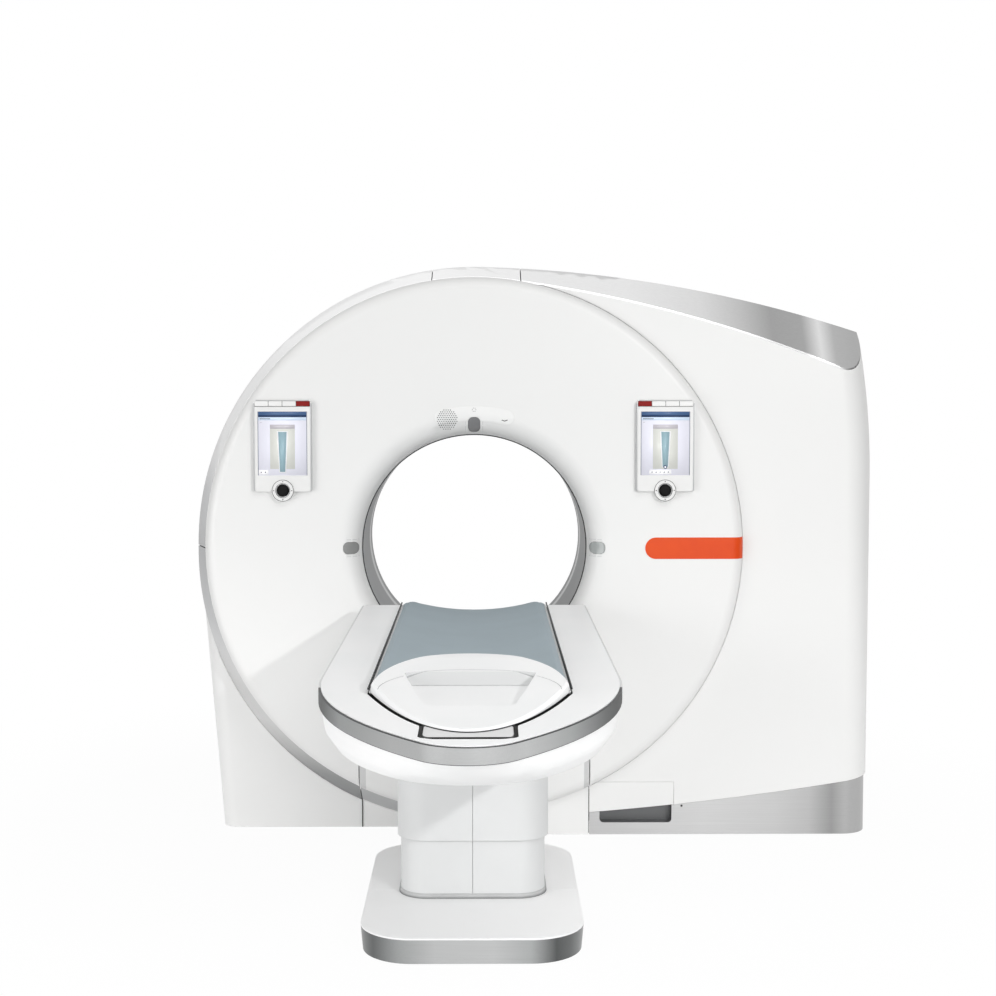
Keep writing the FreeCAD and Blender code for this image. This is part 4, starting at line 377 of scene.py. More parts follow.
# %% Which solid has which finish
solids_of_finish = {
    "satin_white_paint": [
        "front_disc_cover", "lower_left_cover", "wing_cover", "service_door", "rear_cover"],
    "middle_with_silver_ring": ["lower_centre_cover"],
    "strip_grey_abs": ["speaker_strip"],
    "brushed_roof_left": ["upper_left_band"],
    "brushed_crown": ["crown_band"],
    "brushed_wing": ["wing_band"],
    "brushed_ring": ["lower_left_band"],
    "plinth_with_painted_recess_shade": ["plinth"],
    "deck_with_painted_trough_shade": ["deck"],
    "edge_lined_on_both_sides": ["edge_band"],
    "brushed_base_skirt": ["base_skirt"],
    "tunnel_grey_polycarbonate": ["tunnel_liner", "rear_flare"],
    "scan_window_polyester_film": ["scan_window"],
    "windows_with_painted_light": ["laser_windows"],
    "accent_orange_lacquer": ["accent_bar"],
    "screen_frame_abs": ["panel_left", "panel_right"],
    "screen_cover_glass": ["panel_screens"],
    "keycap_white_abs": [f"button_left_{i}" for i in (1, 2, 3)] + [f"button_right_{i}" for i in (2, 3, 4)],
    "keycap_red_abs": ["button_left_4", "button_right_1"],
    "stick_black_rubber": ["joystick_left", "joystick_right"],
    "gimbal_white_nylon": ["gimbal_left", "gimbal_right"],
    "powder_coated_steel": ["gantry_base_frame", "stator_frame", "base_plate"],
    "ground_bearing_steel": ["bearing_outer_ring", "bearing_inner_ring"],
    "cast_aluminium": ["rotor_drum"],
    "slip_ring_brass": ["slip_ring"],
    "lead_lined_tube_housing": ["xray_tubes"],
    "detector_black_anodise": ["detectors"],
    "tank_grey_enamel": ["generator_tanks"],
    "table_white_paint": ["table_bowl"],
    "base_white_paint": ["base_covers"],
    "column_white_with_painted_shade": [
        "lower_column_left", "lower_column_right", "mid_column_left", "mid_column_right"],
    "cap_with_painted_grip_shade": ["foot_cap"],
    "tongue_with_painted_gap_shade": ["cap_tongue"],
    "lift_chromed_steel": ["lift_outer_tube", "lift_middle_tube", "lift_inner_tube", "lift_spindle"],
    "rail_drawn_steel": ["cradle_rails"],
    "carbon_board_white_lacquer": ["cradle"],
}

for finish_name, node_names in solids_of_finish.items():
    for node_name in node_names:
        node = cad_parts[node_name]
        node.data.materials.clear()
        node.data.materials.append(finishes[finish_name])
        node.data.shade_smooth()
print("finished solids:", sum(len(names) for names in solids_of_finish.values()))

# %% [markdown]
# ## Tools for the added pieces
# Each added piece is modelled in a bmesh, which is Blender's editable mesh, then made an object that
# sits at the origin with its place in its points. Small flat trim, such as a seam or a row of
# holes, is laid on the cover under it with a projecting Shrinkwrap, so that it follows the curve.

# %% Make a piece from a bmesh
def as_object(name, shape):
    mesh = bpy.data.meshes.new(name)
    shape.to_mesh(mesh)
    shape.free()
    made = bpy.data.objects.new(name, mesh)
    scene.collection.objects.link(made)
    return made


def make_piece(name, shape, finish_names, body="gantry_and_base"):
    piece = as_object(name, shape)
    for finish_name in finish_names:
        piece.data.materials.append(finishes[finish_name])
    piece.data.shade_smooth()
    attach(piece, body)
    print(name, "has", len(piece.data.polygons), "faces")
    return piece


def applied(piece):
    depsgraph = bpy.context.evaluated_depsgraph_get()
    mesh = bpy.data.meshes.new_from_object(piece.evaluated_get(depsgraph))
    piece.modifiers.clear()
    piece.data = mesh
    return piece


def laid_on(piece, cover, axis, lift_mm):
    wrap = piece.modifiers.new("Lie on the cover", "SHRINKWRAP")
    wrap.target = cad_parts[cover]
    wrap.wrap_method = "PROJECT"
    wrap.use_project_x, wrap.use_project_y, wrap.use_project_z = (axis == a for a in "XYZ")
    wrap.use_positive_direction = wrap.use_negative_direction = True
    wrap.offset = lift_mm / 1000
    return applied(piece)


# %% A plate between two corners, and a few short helpers
def add_plate(shape, low, high, finish_index=0):
    low, high = Vector(low), Vector(high)
    size = Matrix.Diagonal((*(high - low), 1.0))
    made = bmesh.ops.create_cube(shape, size=1.0, matrix=Matrix.Translation((low + high) / 2) @ size)
    for face in faces_of(made["verts"]):
        face.material_index = finish_index
    return made["verts"]


def faces_of(verts):
    return list({face for vert in verts for face in vert.link_faces})


def everything(shape):
    return shape.verts[:] + shape.edges[:] + shape.faces[:]


def drawn_out(shape, faces, offset):
    """Extrudes faces by an offset and keeps them as the closed end."""
    drawn = bmesh.ops.extrude_face_region(shape, geom=faces, use_keep_orig=True)
    ends = [part for part in drawn["geom"] if isinstance(part, bmesh.types.BMVert)]
    bmesh.ops.translate(shape, verts=ends, vec=offset)


def facing_out(shape):
    bmesh.ops.recalc_face_normals(shape, faces=shape.faces)


def soften_edges(shape, width):
    bmesh.ops.bevel(shape, geom=shape.edges, offset=width, affect="EDGES", segments=2, profile=0.5,
                    material=-1)


def facing_foot(place):
    """A matrix that stands a flat shape upright at a place, facing the foot end."""
    return Matrix.Translation(place) @ Matrix.Rotation(math.radians(90), 4, "X")


print("the bmesh helpers are ready")


# %% [markdown]
# ## The touch screens
# Each side of the gantry has a display that shows the table in the tunnel, a blue title bar and a
# row of small symbols. Thin plates on the glass keep every edge crisp from near and far, and need
# no image file. Each plate has its own colour, faintly lit from behind as on a real display.

# %% Lit colours of a display
def lit(name, hex_colour, glow):
    tree = coated(name, hex_colour, hex_colour, 0.3, 40, 0.6, 0.002).node_tree
    shader = tree.nodes["Principled BSDF"]
    shader.inputs["Emission Color"].default_value = linear(hex_colour)
    shader.inputs["Emission Strength"].default_value = glow
    return name


display_colours = [
    lit("display_pale_field", "#E9E9F4", 0.12), lit("display_title_blue", "#1F3A60", 0.1),
    lit("display_room_beige", "#DDDED8", 0.1), lit("display_room_shade", "#C6C2C8", 0.1),
    lit("display_white", "#FBFBFD", 0.12), lit("display_table_blue", "#93B0BA", 0.12),
    lit("display_symbol_grey", "#5C6066", 0.05), lit("display_title_light", "#46638C", 0.1),
    lit("display_sky", "#D3E3F6", 0.12), lit("display_frame_grey", "#9A9EAC", 0.02)]
PALE, TITLE, ROOM, SHADE, WHITE, TABLE, SYMBOL, TITLE_LIGHT, SKY, FRAME = range(10)
print("display colours:", len(display_colours))


# %% Draw one display with thin plates
PANEL_X = 0.652
LAYER = 0.0002


def display_picture(name, side, table_end, symbols_left, symbol_count, has_dot):
    """Lays out the picture in shares of the pane's width and height, from its top left corner."""
    width, height, glass = 0.163, 0.216, -0.498
    left, top = side * PANEL_X - width / 2, 1.479
    shape = bmesh.new()

    def spot(u, v, y):
        return (left + u * width, y, top - v * height)

    def area(u1, v1, u2, v2, layer, colour):
        return add_plate(shape, spot(u1, v2, glass - LAYER * layer), spot(u2, v1, glass + 2 * LAYER), colour)

    area(-0.016, -0.006, 1.016, 1.0, 0.5, FRAME)
    area(0.0, 0.0, 1.0, 1.0, 1, PALE)
    area(0.0, 0.0, 1.0, 0.083, 2, TITLE)
    area(0.0, 0.0, 1.0, 0.05, 3, TITLE_LIGHT)
    area(0.0, 0.083, 1.0, 0.132, 2, SKY)
    area(0.03, 0.104, 0.25, 0.114, 3, SYMBOL)
    area(0.03, 0.165, 0.07, 0.172, 2, SHADE)
    area(0.24, 0.20, 0.76, 0.90, 2, ROOM)
    area(0.24, 0.20, 0.76, 0.265, 3, SHADE)
    middle = left + 0.5 * width
    for half, low_half, layer, colour, v1, v2 in ((0.115, 0.072, 3, WHITE, 0.305, table_end),
                                                 (0.088, 0.055, 4, TABLE, 0.315, table_end - 0.01)):
        for vert in area(0.5 - half, v1, 0.5 + half, v2, layer, colour):
            if vert.co.z < top - (v1 + 0.1) * height:
                vert.co.x = middle + (vert.co.x - middle) * low_half / half
    area(symbols_left, 0.915, symbols_left + 0.085 * symbol_count + 0.03, 0.985, 3, WHITE)
    for index in range(symbol_count):
        u = symbols_left + 0.04 + 0.085 * index
        area(u, 0.942, u + 0.026, 0.959, 4, SYMBOL)
    if has_dot:
        for radius, layer, colour in ((0.0066, 5, TITLE), (0.003, 6, WHITE)):
            place = facing_foot(spot(0.5, table_end - 0.005, glass - LAYER * layer))
            dot = bmesh.ops.create_circle(shape, cap_ends=True, segments=24, radius=radius, matrix=place)
            for face in faces_of(dot["verts"]):
                face.material_index = colour
    make_piece(name, shape, display_colours)


display_picture("display_picture_left", -1, 0.955, 0.0, 2, False)
display_picture("display_picture_right", 1, 0.875, 0.17, 5, True)

# %% [markdown]
# ## Joysticks
# Under each display sits a thumb stick in a white ring with four small arrows. The stick's cap is
# a low dome of black rubber: half of a flattened sphere, cut with a plane. Its top is pushed in
# along a parabola, which gives the shallow dish for the thumb.

# %% The dome of a stick
STICK_Z = 1.211
DISH_RADIUS, DISH_DEPTH = 0.011, 0.0018


def stick_dome(name, node, side):
    shape = bmesh.new()
    bmesh.ops.create_uvsphere(shape, u_segments=40, v_segments=20, radius=0.0208)
    bmesh.ops.rotate(shape, verts=shape.verts, matrix=Matrix.Rotation(math.radians(90), 3, "X"))
    bmesh.ops.scale(shape, verts=shape.verts, vec=(1.0, 0.66, 1.0))
    bmesh.ops.bisect_plane(shape, geom=everything(shape),
                           plane_co=(0, 0, 0), plane_no=(0, 1, 0), clear_outer=True)
    bmesh.ops.contextual_create(shape, geom=[edge for edge in shape.edges if edge.is_boundary])
    for vert in shape.verts:
        reach = math.hypot(vert.co.x, vert.co.z)
        if vert.co.y < -0.004 and reach < DISH_RADIUS:
            vert.co.y += DISH_DEPTH * (1 - (reach / DISH_RADIUS) ** 2)
    bmesh.ops.translate(shape, verts=shape.verts, vec=(side * PANEL_X, -0.497, STICK_Z))
    facing_out(shape)
    dome = make_piece(name, shape, ["stick_black_rubber"], node)
    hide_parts(node)


stick_dome("stick_dome_left", "joystick_left", -1)
stick_dome("stick_dome_right", "joystick_right", 1)


# %% The dark outline and the arrows of the ring
def stick_ring(name, side):
    centre = Vector((side * PANEL_X, -0.502, STICK_Z))
    shape = bmesh.new()
    for radius, line in ((0.0362, 0.0007), (0.0248, 0.0004)):
        turn = Matrix.Translation(centre + Vector((radius, 0, 0)))
        made = bmesh.ops.create_circle(shape, segments=8, radius=line, matrix=turn)
        edges = list({e for v in made["verts"] for e in v.link_edges})
        bmesh.ops.spin(shape, geom=made["verts"] + edges, cent=centre, axis=(0, 1, 0),
                       angle=math.tau, steps=64, use_merge=True)
    for quarter in range(4):
        turn = Matrix.Translation(centre) @ Matrix.Rotation(math.radians(90 * quarter), 4, "Y")
        bmesh.ops.create_circle(shape, cap_ends=True, segments=3, radius=0.0028,
                                matrix=turn @ facing_foot((0, -0.0003, 0.0305)))
    bmesh.ops.remove_doubles(shape, verts=shape.verts, dist=0.00001)
    facing_out(shape)
    make_piece(name, shape, ["stick_black_rubber"])


stick_ring("stick_ring_left", -1)
stick_ring("stick_ring_right", 1)

# %% [markdown]
# ## Loudspeaker, microphone and breathing sign in the strip over the tunnel
# The loudspeaker is a round field of small drilled holes. Each hole is an eight-sided dark disc, as
# a hole this small shows no depth, laid on the curved strip. The rows are shifted by half a step,
# which is how perforated sheet is drilled. Six more holes in a ring are the microphone, and two
# slanted bars make the sign that tells the patient when to breathe.

# %% The drilled holes
coated("hole_dark", "#3A3B3C", "#434445", 0.8, 20, 1.0)
BEFORE_STRIP = -0.52


def add_hole(shape, x, z, radius, segments):
    bmesh.ops.create_circle(shape, cap_ends=True, segments=segments, radius=radius,
                            matrix=facing_foot((x, BEFORE_STRIP, z)))


def speaker_holes():
    shape = bmesh.new()
    field, step = 0.034, 0.0074
    count = int(field / step) + 2
    for row in range(-count, count + 1):
        z = row * step * math.sqrt(0.75)
        for column in range(-count, count + 1):
            x = (column + 0.5 * (row % 2)) * step
            if math.hypot(x, z) < field:
                add_hole(shape, -0.092 + x, 1.453 + z, 0.0019, 8)
    for turn in range(6):
        angle = math.radians(60 * turn)
        add_hole(shape, 0.006 * math.cos(angle), 1.486 + 0.006 * math.sin(angle), 0.0013, 6)
    piece = make_piece("speaker_holes", shape, ["hole_dark"])
    laid_on(piece, "speaker_strip", "Y", 0.3)


def breathing_sign():
    shape = bmesh.new()
    for side in (-1, 1):
        verts = add_plate(shape, (-0.011, BEFORE_STRIP - 0.0005, -0.0012), (0.0, BEFORE_STRIP, 0.0012))
        bmesh.ops.rotate(shape, verts=verts, matrix=Matrix.Rotation(math.radians(22), 3, "Y"))
        bmesh.ops.scale(shape, verts=verts, vec=(side * -1, 1, 1))
        bmesh.ops.translate(shape, verts=verts, vec=(0.104, 0, 1.447))
    facing_out(shape)
    piece = make_piece("breathing_sign", shape, ["hole_dark"])
    laid_on(piece, "speaker_strip", "Y", 0.3)


speaker_holes()
breathing_sign()

# %% [markdown]
# ## Seam of the foot cap
# The padded rim of the cap is a moulding of its own. Its joint shows as a fine line that starts at
# each side of the cap and runs up to the grip. It is cut from an oval ring 1.5 mm wide: the planes
# through the grip and through the cap's widest place clear what isn't needed, and the rest is laid
# on the cap.

# %% The seam lines
coated("seam_grey", "#8A8B8C", "#939495", 0.7, 40, 1.0)


def cap_seam():
    shape = bmesh.new()
    for radius in (1.0, 0.993):
        bmesh.ops.create_circle(shape, segments=160, radius=radius)
    bmesh.ops.bridge_loops(shape, edges=shape.edges)
    bmesh.ops.scale(shape, verts=shape.verts, vec=(0.216, 0.19, 1.0))
    bmesh.ops.translate(shape, verts=shape.verts, vec=(0, -2.255, 0.9))
    for place, direction in (((0, -2.245, 0), (0, 1, 0)), ((0.16, 0, 0), (1, 0, 0))):
        bmesh.ops.bisect_plane(shape, geom=everything(shape),
                               plane_co=place, plane_no=direction, clear_inner=True)
    bmesh.ops.mirror(shape, geom=everything(shape), axis="X", merge_dist=0.0)
    facing_out(shape)
    piece = make_piece("cap_seam", shape, ["seam_grey"], "cradle")
    laid_on(piece, "foot_cap", "Z", 0.25)


cap_seam()

# %% [markdown]
# The grip is a hollow with a steep wall behind it. A fine shadow line in the crease at the foot of
# the wall, and one along the arched edge above it, are what the eye reads the hollow by. They lie
# where the measured wall begins and ends. The arch is a short edge, spun about the far centre of
# the circle through its ends and its crown.

# %% Crease and arched edge of the grip
coated("seam_light", "#A8A9AA", "#B0B1B2", 0.7, 40, 1.0)


def grip_lines():
    shape = bmesh.new()
    add_plate(shape, (-0.152, -2.1155, 0.8352), (0.152, -2.1135, 0.8362))
    across, rise = 0.16, 0.032
    radius = (across ** 2 + rise ** 2) / (2 * rise)
    half_turn = math.asin(across / radius)
    centre = Vector((0, -2.1 + rise - radius, 0.9))
    start = [shape.verts.new(centre + Matrix.Rotation(half_turn, 3, "Z") @ Vector((0, r, 0)))
             for r in (radius + 0.001, radius - 0.0006)]
    edge = shape.edges.new(start)
    bmesh.ops.spin(shape, geom=start + [edge], cent=centre, axis=(0, 0, -1), angle=2 * half_turn, steps=48)
    facing_out(shape)
    piece = make_piece("grip_lines", shape, ["seam_light"], "cradle")
    laid_on(piece, "foot_cap", "Z", 0.3)


grip_lines()

# %% [markdown]
# ## Fine lines of the panels and the tunnel
# Between the keys are narrow slots, and the panel's housing has a satin metal edge at its top and on
# both sides. They are thin, but they draw the outlines that one sees from across the room.

# %% Key slots and housing edges
coated("satin_metal_edge", "#B4B5B6", "#BEBFC0", 0.45, 80, 1.0, metallic=0.3)


def key_slots(side):
    shape = bmesh.new()
    boxes = sorted((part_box(f"button_{side}_{i}") for i in (1, 2, 3, 4)), key=lambda box: box[0].x)
    for (low, high), (next_low, _) in zip(boxes, boxes[1:]):
        add_plate(shape, (high.x - 0.0004, low.y + 0.0006, low.z),
                  (next_low.x + 0.0004, high.y, high.z - 0.0004))
    first, last = boxes[0][0], boxes[-1][1]
    add_plate(shape, (first.x, first.y + 0.0006, first.z - 0.0014), (last.x, last.y, first.z))
    make_piece("key_slots_" + side, shape, ["hole_dark"])


def panel_edges(side):
    low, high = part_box("panel_" + side)
    shape = bmesh.new()
    for x1, x2 in ((low.x - 0.0006, low.x + 0.0026), (high.x - 0.0026, high.x + 0.0006)):
        add_plate(shape, (x1, low.y + 0.001, low.z + 0.036), (x2, high.y, high.z - 0.012))
    add_plate(shape, (low.x + 0.008, low.y + 0.0015, high.z - 0.0032),
              (high.x - 0.008, high.y, high.z - 0.0008))
    soften_edges(shape, 0.0006)
    make_piece("panel_edges_" + side, shape, ["satin_metal_edge"])


for side in ("left", "right"):
    key_slots(side)
    panel_edges(side)

# %% [markdown]
# Between the front disc and the wing is a joint a few millimetres wide. A light grey sealing strip
# lies in it, so that it reads as a soft line and not as a black gap. It is a thin band turned about
# the axis of the tunnel.

# %% The sealing strip round the disc
coated("joint_light_grey", "#C2C3C3", "#CACBCB", 0.6, 60, 1.0)


def disc_joint(first, last):
    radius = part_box("front_disc_cover")[1].z - TUNNEL_AXIS.z
    shape = bmesh.new()
    made = add_plate(shape, (0.0, -0.4305, radius - 0.004), (0.0001, -0.4295, radius + 0.006))
    bmesh.ops.delete(shape, geom=[v for v in made if v.co.x > 0.00005], context="VERTS")
    bmesh.ops.translate(shape, verts=shape.verts, vec=TUNNEL_AXIS)
    bmesh.ops.rotate(shape, verts=shape.verts, cent=TUNNEL_AXIS,
                     matrix=Matrix.Rotation(math.radians(first), 3, "Y"))
    bmesh.ops.spin(shape, geom=everything(shape), cent=TUNNEL_AXIS, axis=(0, 1, 0),
                   angle=math.radians(last - first), steps=96)
    facing_out(shape)
    make_piece("disc_joint", shape, ["joint_light_grey"])


disc_joint(15, 150)

# %% [markdown]
# Each laser window sits in a white bezel with a fine grey outline. The bezels are thin strips, cut
# small enough to follow the curve of the cover, and turned a quarter about the tunnel from window
# to window.

# %% The bezels of the laser windows
def window_bezels():
    white, grey = 0, 1
    shape = bmesh.new()
    for turn in (-90, 0, 90):
        spin = Matrix.Translation(TUNNEL_AXIS) @ Matrix.Rotation(math.radians(turn), 4, "Y")
        for x1, x2, z1, z2, finish_index in (
                (-0.0285, -0.0225, 0.397, 0.438, white), (0.0225, 0.0285, 0.397, 0.438, white),
                (-0.0300, -0.0285, 0.397, 0.438, grey), (0.0285, 0.0300, 0.397, 0.438, grey),
                (-0.0225, 0.0225, 0.3945, 0.3975, white)):
            verts = add_plate(shape, (x1, -0.53, z1), (x2, -0.4, z2), finish_index)
            top = max(v.co.y for v in verts)
            bmesh.ops.delete(shape, geom=[v for v in verts if v.co.y > top - 0.001], context="VERTS")
            rest = [v for v in verts if v.is_valid]
            bmesh.ops.transform(shape, verts=rest, matrix=spin)
    bmesh.ops.subdivide_edges(shape, edges=shape.edges, cuts=5, use_grid_fill=True)
    facing_out(shape)
    piece = make_piece("window_bezels", shape, ["keycap_white_abs", "joint_light_grey"])
    laid_on(piece, "front_disc_cover", "Y", 0.35)


window_bezels()

# %% [markdown]
# A black ring lies in the joint between the front cover and the tunnel: a dark piece that stands in
# for the shade in that joint. It is a small circle, spun about the axis of the tunnel.

# %% The dark ring that stands in for the shade in the joint of the tunnel
def bore_shade_ring():
    centre = TUNNEL_AXIS + Vector((0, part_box("tunnel_liner")[0].y + 0.002, 0))
    shape = bmesh.new()
    bmesh.ops.create_circle(shape, segments=10, radius=0.003,
                            matrix=Matrix.Translation(centre + Vector((0.3895, 0, 0))))
    bmesh.ops.spin(shape, geom=shape.verts[:] + shape.edges[:], cent=centre, axis=(0, 1, 0),
                   angle=math.tau, steps=128, use_merge=True)
    facing_out(shape)
    make_piece("bore_shade_ring", shape, ["seal_black_rubber"])


bore_shade_ring()

# %% [markdown]
# Low on the front, a small sensor sits beside the service door, and black rubber lips close the two
# upright joints of the middle cover.

# %% The small sensor beside the service door
def door_sensor():
    shape = bmesh.new()
    add_plate(shape, (0.7205, -0.4365, 0.0985), (0.7275, -0.433, 0.1055))
    soften_edges(shape, 0.001)
    make_piece("door_sensor", shape, ["seal_black_rubber"])


door_sensor()

# %% Rubber lips in the two upright joints of the middle cover
def joint_lips():
    shape = bmesh.new()
    for side, front, back in ((-1, -0.334, -0.326), (1, -0.42, -0.40)):
        x1, x2 = sorted((side * 0.3983, side * 0.4007))
        add_plate(shape, (x1, front, 0.002), (x2, back, 0.2))
    soften_edges(shape, 0.0004)
    make_piece("joint_lips", shape, ["seal_black_rubber"])


joint_lips()

# %% [markdown]
# ## The mattress
# The mattress is a foam pad in a welded, wipe-clean cover of blue-grey coated fabric. A foam pad is
# fullest in the middle and tight at its welted edge. It starts as a copy of the measured pad, a
# little smaller, and is remeshed into even quads. Its shoulders slope down to the welts. Then the
# Cloth solver blows it up a little, with a limit on how far any point may move.

# %% A smaller pad of even quads
SMALLER, QUAD = 0.002, 0.006
SHOULDER_START, SHOULDER_WIDTH, SHOULDER_DROP = 0.2, 0.04, 0.010
coated("mattress_coated_fabric", "#97A5AC", "#9CAAB1", 0.6, 160, 1.6, 0.04)


def remeshed_pad():
    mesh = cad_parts["mattress"].data.copy()
    piece = bpy.data.objects.new("mattress_pad", mesh)
    scene.collection.objects.link(piece)
    shape = bmesh.new()
    shape.from_mesh(mesh)
    bmesh.ops.remove_doubles(shape, verts=shape.verts, dist=0.00002)
    facing_out(shape)
    for vertex in shape.verts:
        vertex.co -= vertex.normal * SMALLER
    shape.to_mesh(mesh)
    shape.free()
    remesh = piece.modifiers.new("Even quads", "REMESH")
    remesh.mode = "VOXEL"
    remesh.voxel_size = QUAD
    mesh.materials.clear()
    mesh.materials.append(finishes["mattress_coated_fabric"])
    applied(piece)
    upward = [max(0.0, vertex.normal.z) for vertex in piece.data.vertices]
    for vertex, up in zip(piece.data.vertices, upward):
        shoulder = max(0.0, (abs(vertex.co.x) - SHOULDER_START) / SHOULDER_WIDTH)
        vertex.co.z -= SHOULDER_DROP * min(shoulder, 1.0) ** 2 * up
    return piece


mattress = remeshed_pad()
print("the pad has", len(mattress.data.polygons), "quads")


# %% Blow the pad up with the Cloth solver
LAST_FRAME = 20


def pressed_out(piece, most, outwards):
    """Lets the solver press the pad out, and keeps every point near its first place."""
    before = [vertex.co.copy() for vertex in piece.data.vertices]
    normals = [vertex.normal.copy() for vertex in piece.data.vertices]
    cloth = piece.modifiers.new("Foam in its cover", "CLOTH")
    cloth.settings.quality = 5
    cloth.settings.use_pressure = True
    cloth.settings.uniform_pressure_force = 4.0
    cloth.settings.effector_weights.gravity = 0.0
    cloth.point_cache.frame_start, cloth.point_cache.frame_end = 1, LAST_FRAME
    for frame_number in range(1, LAST_FRAME + 1):
        scene.frame_set(frame_number)
    applied(piece)
    scene.frame_set(1)
    for vertex, first, normal in zip(piece.data.vertices, before, normals):
        move = vertex.co - first
        outward = move.dot(normal)
        if outward > outwards:
            move -= normal * (outward - outwards)
        if move.length > most:
            move *= most / move.length
        vertex.co = first + move


pressed_out(mattress, most=0.006, outwards=0.0016)
rounder = mattress.modifiers.new("Rounder", "SUBSURF")
rounder.levels = rounder.render_levels = 1
applied(mattress)
mattress.data.shade_smooth()
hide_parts("mattress")
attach(mattress, "cradle")
print("mattress faces:", len(mattress.data.polygons))

# %% [markdown]
# The cover of the mattress is closed along both sides by a welt, a thin cord of dark vinyl that is
# sewn into the seam. It draws the dark line between the pad and the white table top. It is a small
# circle, extruded along the pad.

# %% The welt along both sides
def mattress_welts():
    low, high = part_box("mattress")
    shape = bmesh.new()
    for side in (-1, 1):
        made = bmesh.ops.create_circle(shape, cap_ends=True, segments=12, radius=0.0024,
                                       matrix=facing_foot((side * 0.2418, low.y + 0.004, 0.8405)))
        drawn_out(shape, faces_of(made["verts"]), (0, high.y - low.y - 0.014, 0))
    facing_out(shape)
    make_piece("mattress_welts", shape, ["seal_black_rubber"], "cradle")


mattress_welts()

# %% [markdown]
# Two rims close joints of the table: a black one round the tongue, which stands in for the shade in
# its gap, and a rubber lip at the foot of the column. Each is a rounded plate, inset so that only its
# border is left, and extruded upwards.

# %% The border of a rounded plate
def add_rim(shape, low, high, corner, segments, width, top):
    """Low and high are corners of the plate, at its lower side; top is the height of the rim."""
    low, high = Vector(low), Vector(high)
    size = Matrix.Diagonal(((high.x - low.x) / 2, (high.y - low.y) / 2, 1.0, 1.0))
    before = set(shape.faces)
    made = bmesh.ops.create_grid(shape, x_segments=1, y_segments=1, size=1.0,
                                 matrix=Matrix.Translation((low + high) / 2) @ size)
    bmesh.ops.bevel(shape, geom=made["verts"], offset=corner, affect="VERTICES", segments=segments,
                    profile=0.5, material=-1)
    plate = [face for face in shape.faces if face not in before]
    rim = bmesh.ops.inset_region(shape, faces=plate, thickness=width, use_boundary=True,
                                 use_even_offset=True)["faces"]
    bmesh.ops.delete(shape, geom=plate, context="FACES_ONLY")
    drawn_out(shape, rim, (0, 0, top - low.z))


# %% [markdown]
# A black rim runs round the tongue and fills the gap along the notch of the table top: a dark piece
# that stands in for the shade in that gap. It is cut off where the foot cap covers it.

# %% The black rim in the gap round the tongue
def tongue_gap_shade_rim():
    low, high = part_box("cap_tongue")
    bottom, beside, before = high.z - 0.006, 0.006, 0.010
    shape = bmesh.new()
    add_rim(shape, (low.x - beside, low.y - before, bottom), (high.x + beside, high.y, bottom),
            corner=0.018, segments=8, width=0.0095, top=bottom + 0.0072)
    cut = bmesh.ops.bisect_plane(shape, geom=everything(shape), plane_co=(0, low.y + 0.112, 0),
                                 plane_no=(0, 1, 0), clear_outer=True)
    edges = [part for part in cut["geom_cut"] if isinstance(part, bmesh.types.BMEdge)]
    bmesh.ops.contextual_create(shape, geom=edges)
    facing_out(shape)
    make_piece("tongue_gap_shade_rim", shape, ["stick_black_rubber"], "cradle")


tongue_gap_shade_rim()

# %% [markdown]
# Where the column enters the base, a soft lip of grey rubber closes the joint, on a slightly wider
# and darker one. Seen from the front it is the darker band at the foot of the column. The lift tube
# comes down through its open middle.

# %% The lip at the foot of the column
coated("lip_grey_rubber", "#BBBCBC", "#C3C4C4", 0.6, 60, 1.0)
coated("lip_joint_grey", "#8A8B8C", "#929394", 0.6, 60, 1.0)


def column_lip():
    low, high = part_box("lower_column_left")[0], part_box("lower_column_right")[1]
    bottom = 0.0735
    shape = bmesh.new()
    for reach, top, finish_index in ((0.006, 0.0742, 1), (0.003, 0.087, 0)):
        before = set(shape.faces)
        add_rim(shape, (low.x - reach, low.y - reach, bottom), (high.x + reach, high.y + reach, bottom),
                corner=0.08 + reach, segments=10, width=0.02, top=top)
        for face in set(shape.faces) - before:
            face.material_index = finish_index
    facing_out(shape)
    make_piece("column_lip", shape, ["lip_grey_rubber", "lip_joint_grey"])


column_lip()

# %% [markdown]
# ## Soft edges
# Moulded and bent parts have no knife edges. On each measured solid the Weld modifier joins the loose
# triangles, Bevel rounds every sharp edge by a millimetre or so, and Weighted Normal keeps the large
# faces flat in the light.

# %% Soften every measured solid
def soften(piece, edge_mm):
    weld = piece.modifiers.new("Join triangles", "WELD")
    weld.merge_threshold = 0.00002
    bevel = piece.modifiers.new("Soft edges", "BEVEL")
    bevel.width = edge_mm / 1000
    bevel.segments = 2
    bevel.limit_method = "ANGLE"
    bevel.angle_limit = math.radians(38)
    bevel.use_clamp_overlap = True
    normals = piece.modifiers.new("Even light", "WEIGHTED_NORMAL")
    normals.keep_sharp = False


edge_mm_of_solid = {"foot_cap": 3.0, "deck": 1.5, "base_covers": 3.0, "cap_tongue": 1.5}
for node_name in sum(solids_of_finish.values(), []):
    soften(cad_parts[node_name], edge_mm_of_solid.get(node_name, 1.0))
print("softened all", sum(len(names) for names in solids_of_finish.values()), "solids")

# %% [markdown]
# ## The room
# The floor is a plain pale sheet. It keeps the soft shadow of the machine, and far from the
# machine it fades into the white of the backdrop, which the camera sees through the Is Camera Ray
# output of Light Path.

# %% Floor and backdrop
WHITE_LIGHT = (1, 1, 1, 1)


def seen_directly(tree):
    """One for a ray from the camera, a mirror or a pane, and zero for light that spreads."""
    ray = add_node(tree, "ShaderNodeLightPath").outputs
    seen = ray["Is Camera Ray"]
    for other in ("Is Glossy Ray", "Is Transmission Ray"):
        seen = add_node(tree, "ShaderNodeMath", {"operation": "MAXIMUM"}, _0=seen, _1=ray[other]).outputs[0]
    return seen


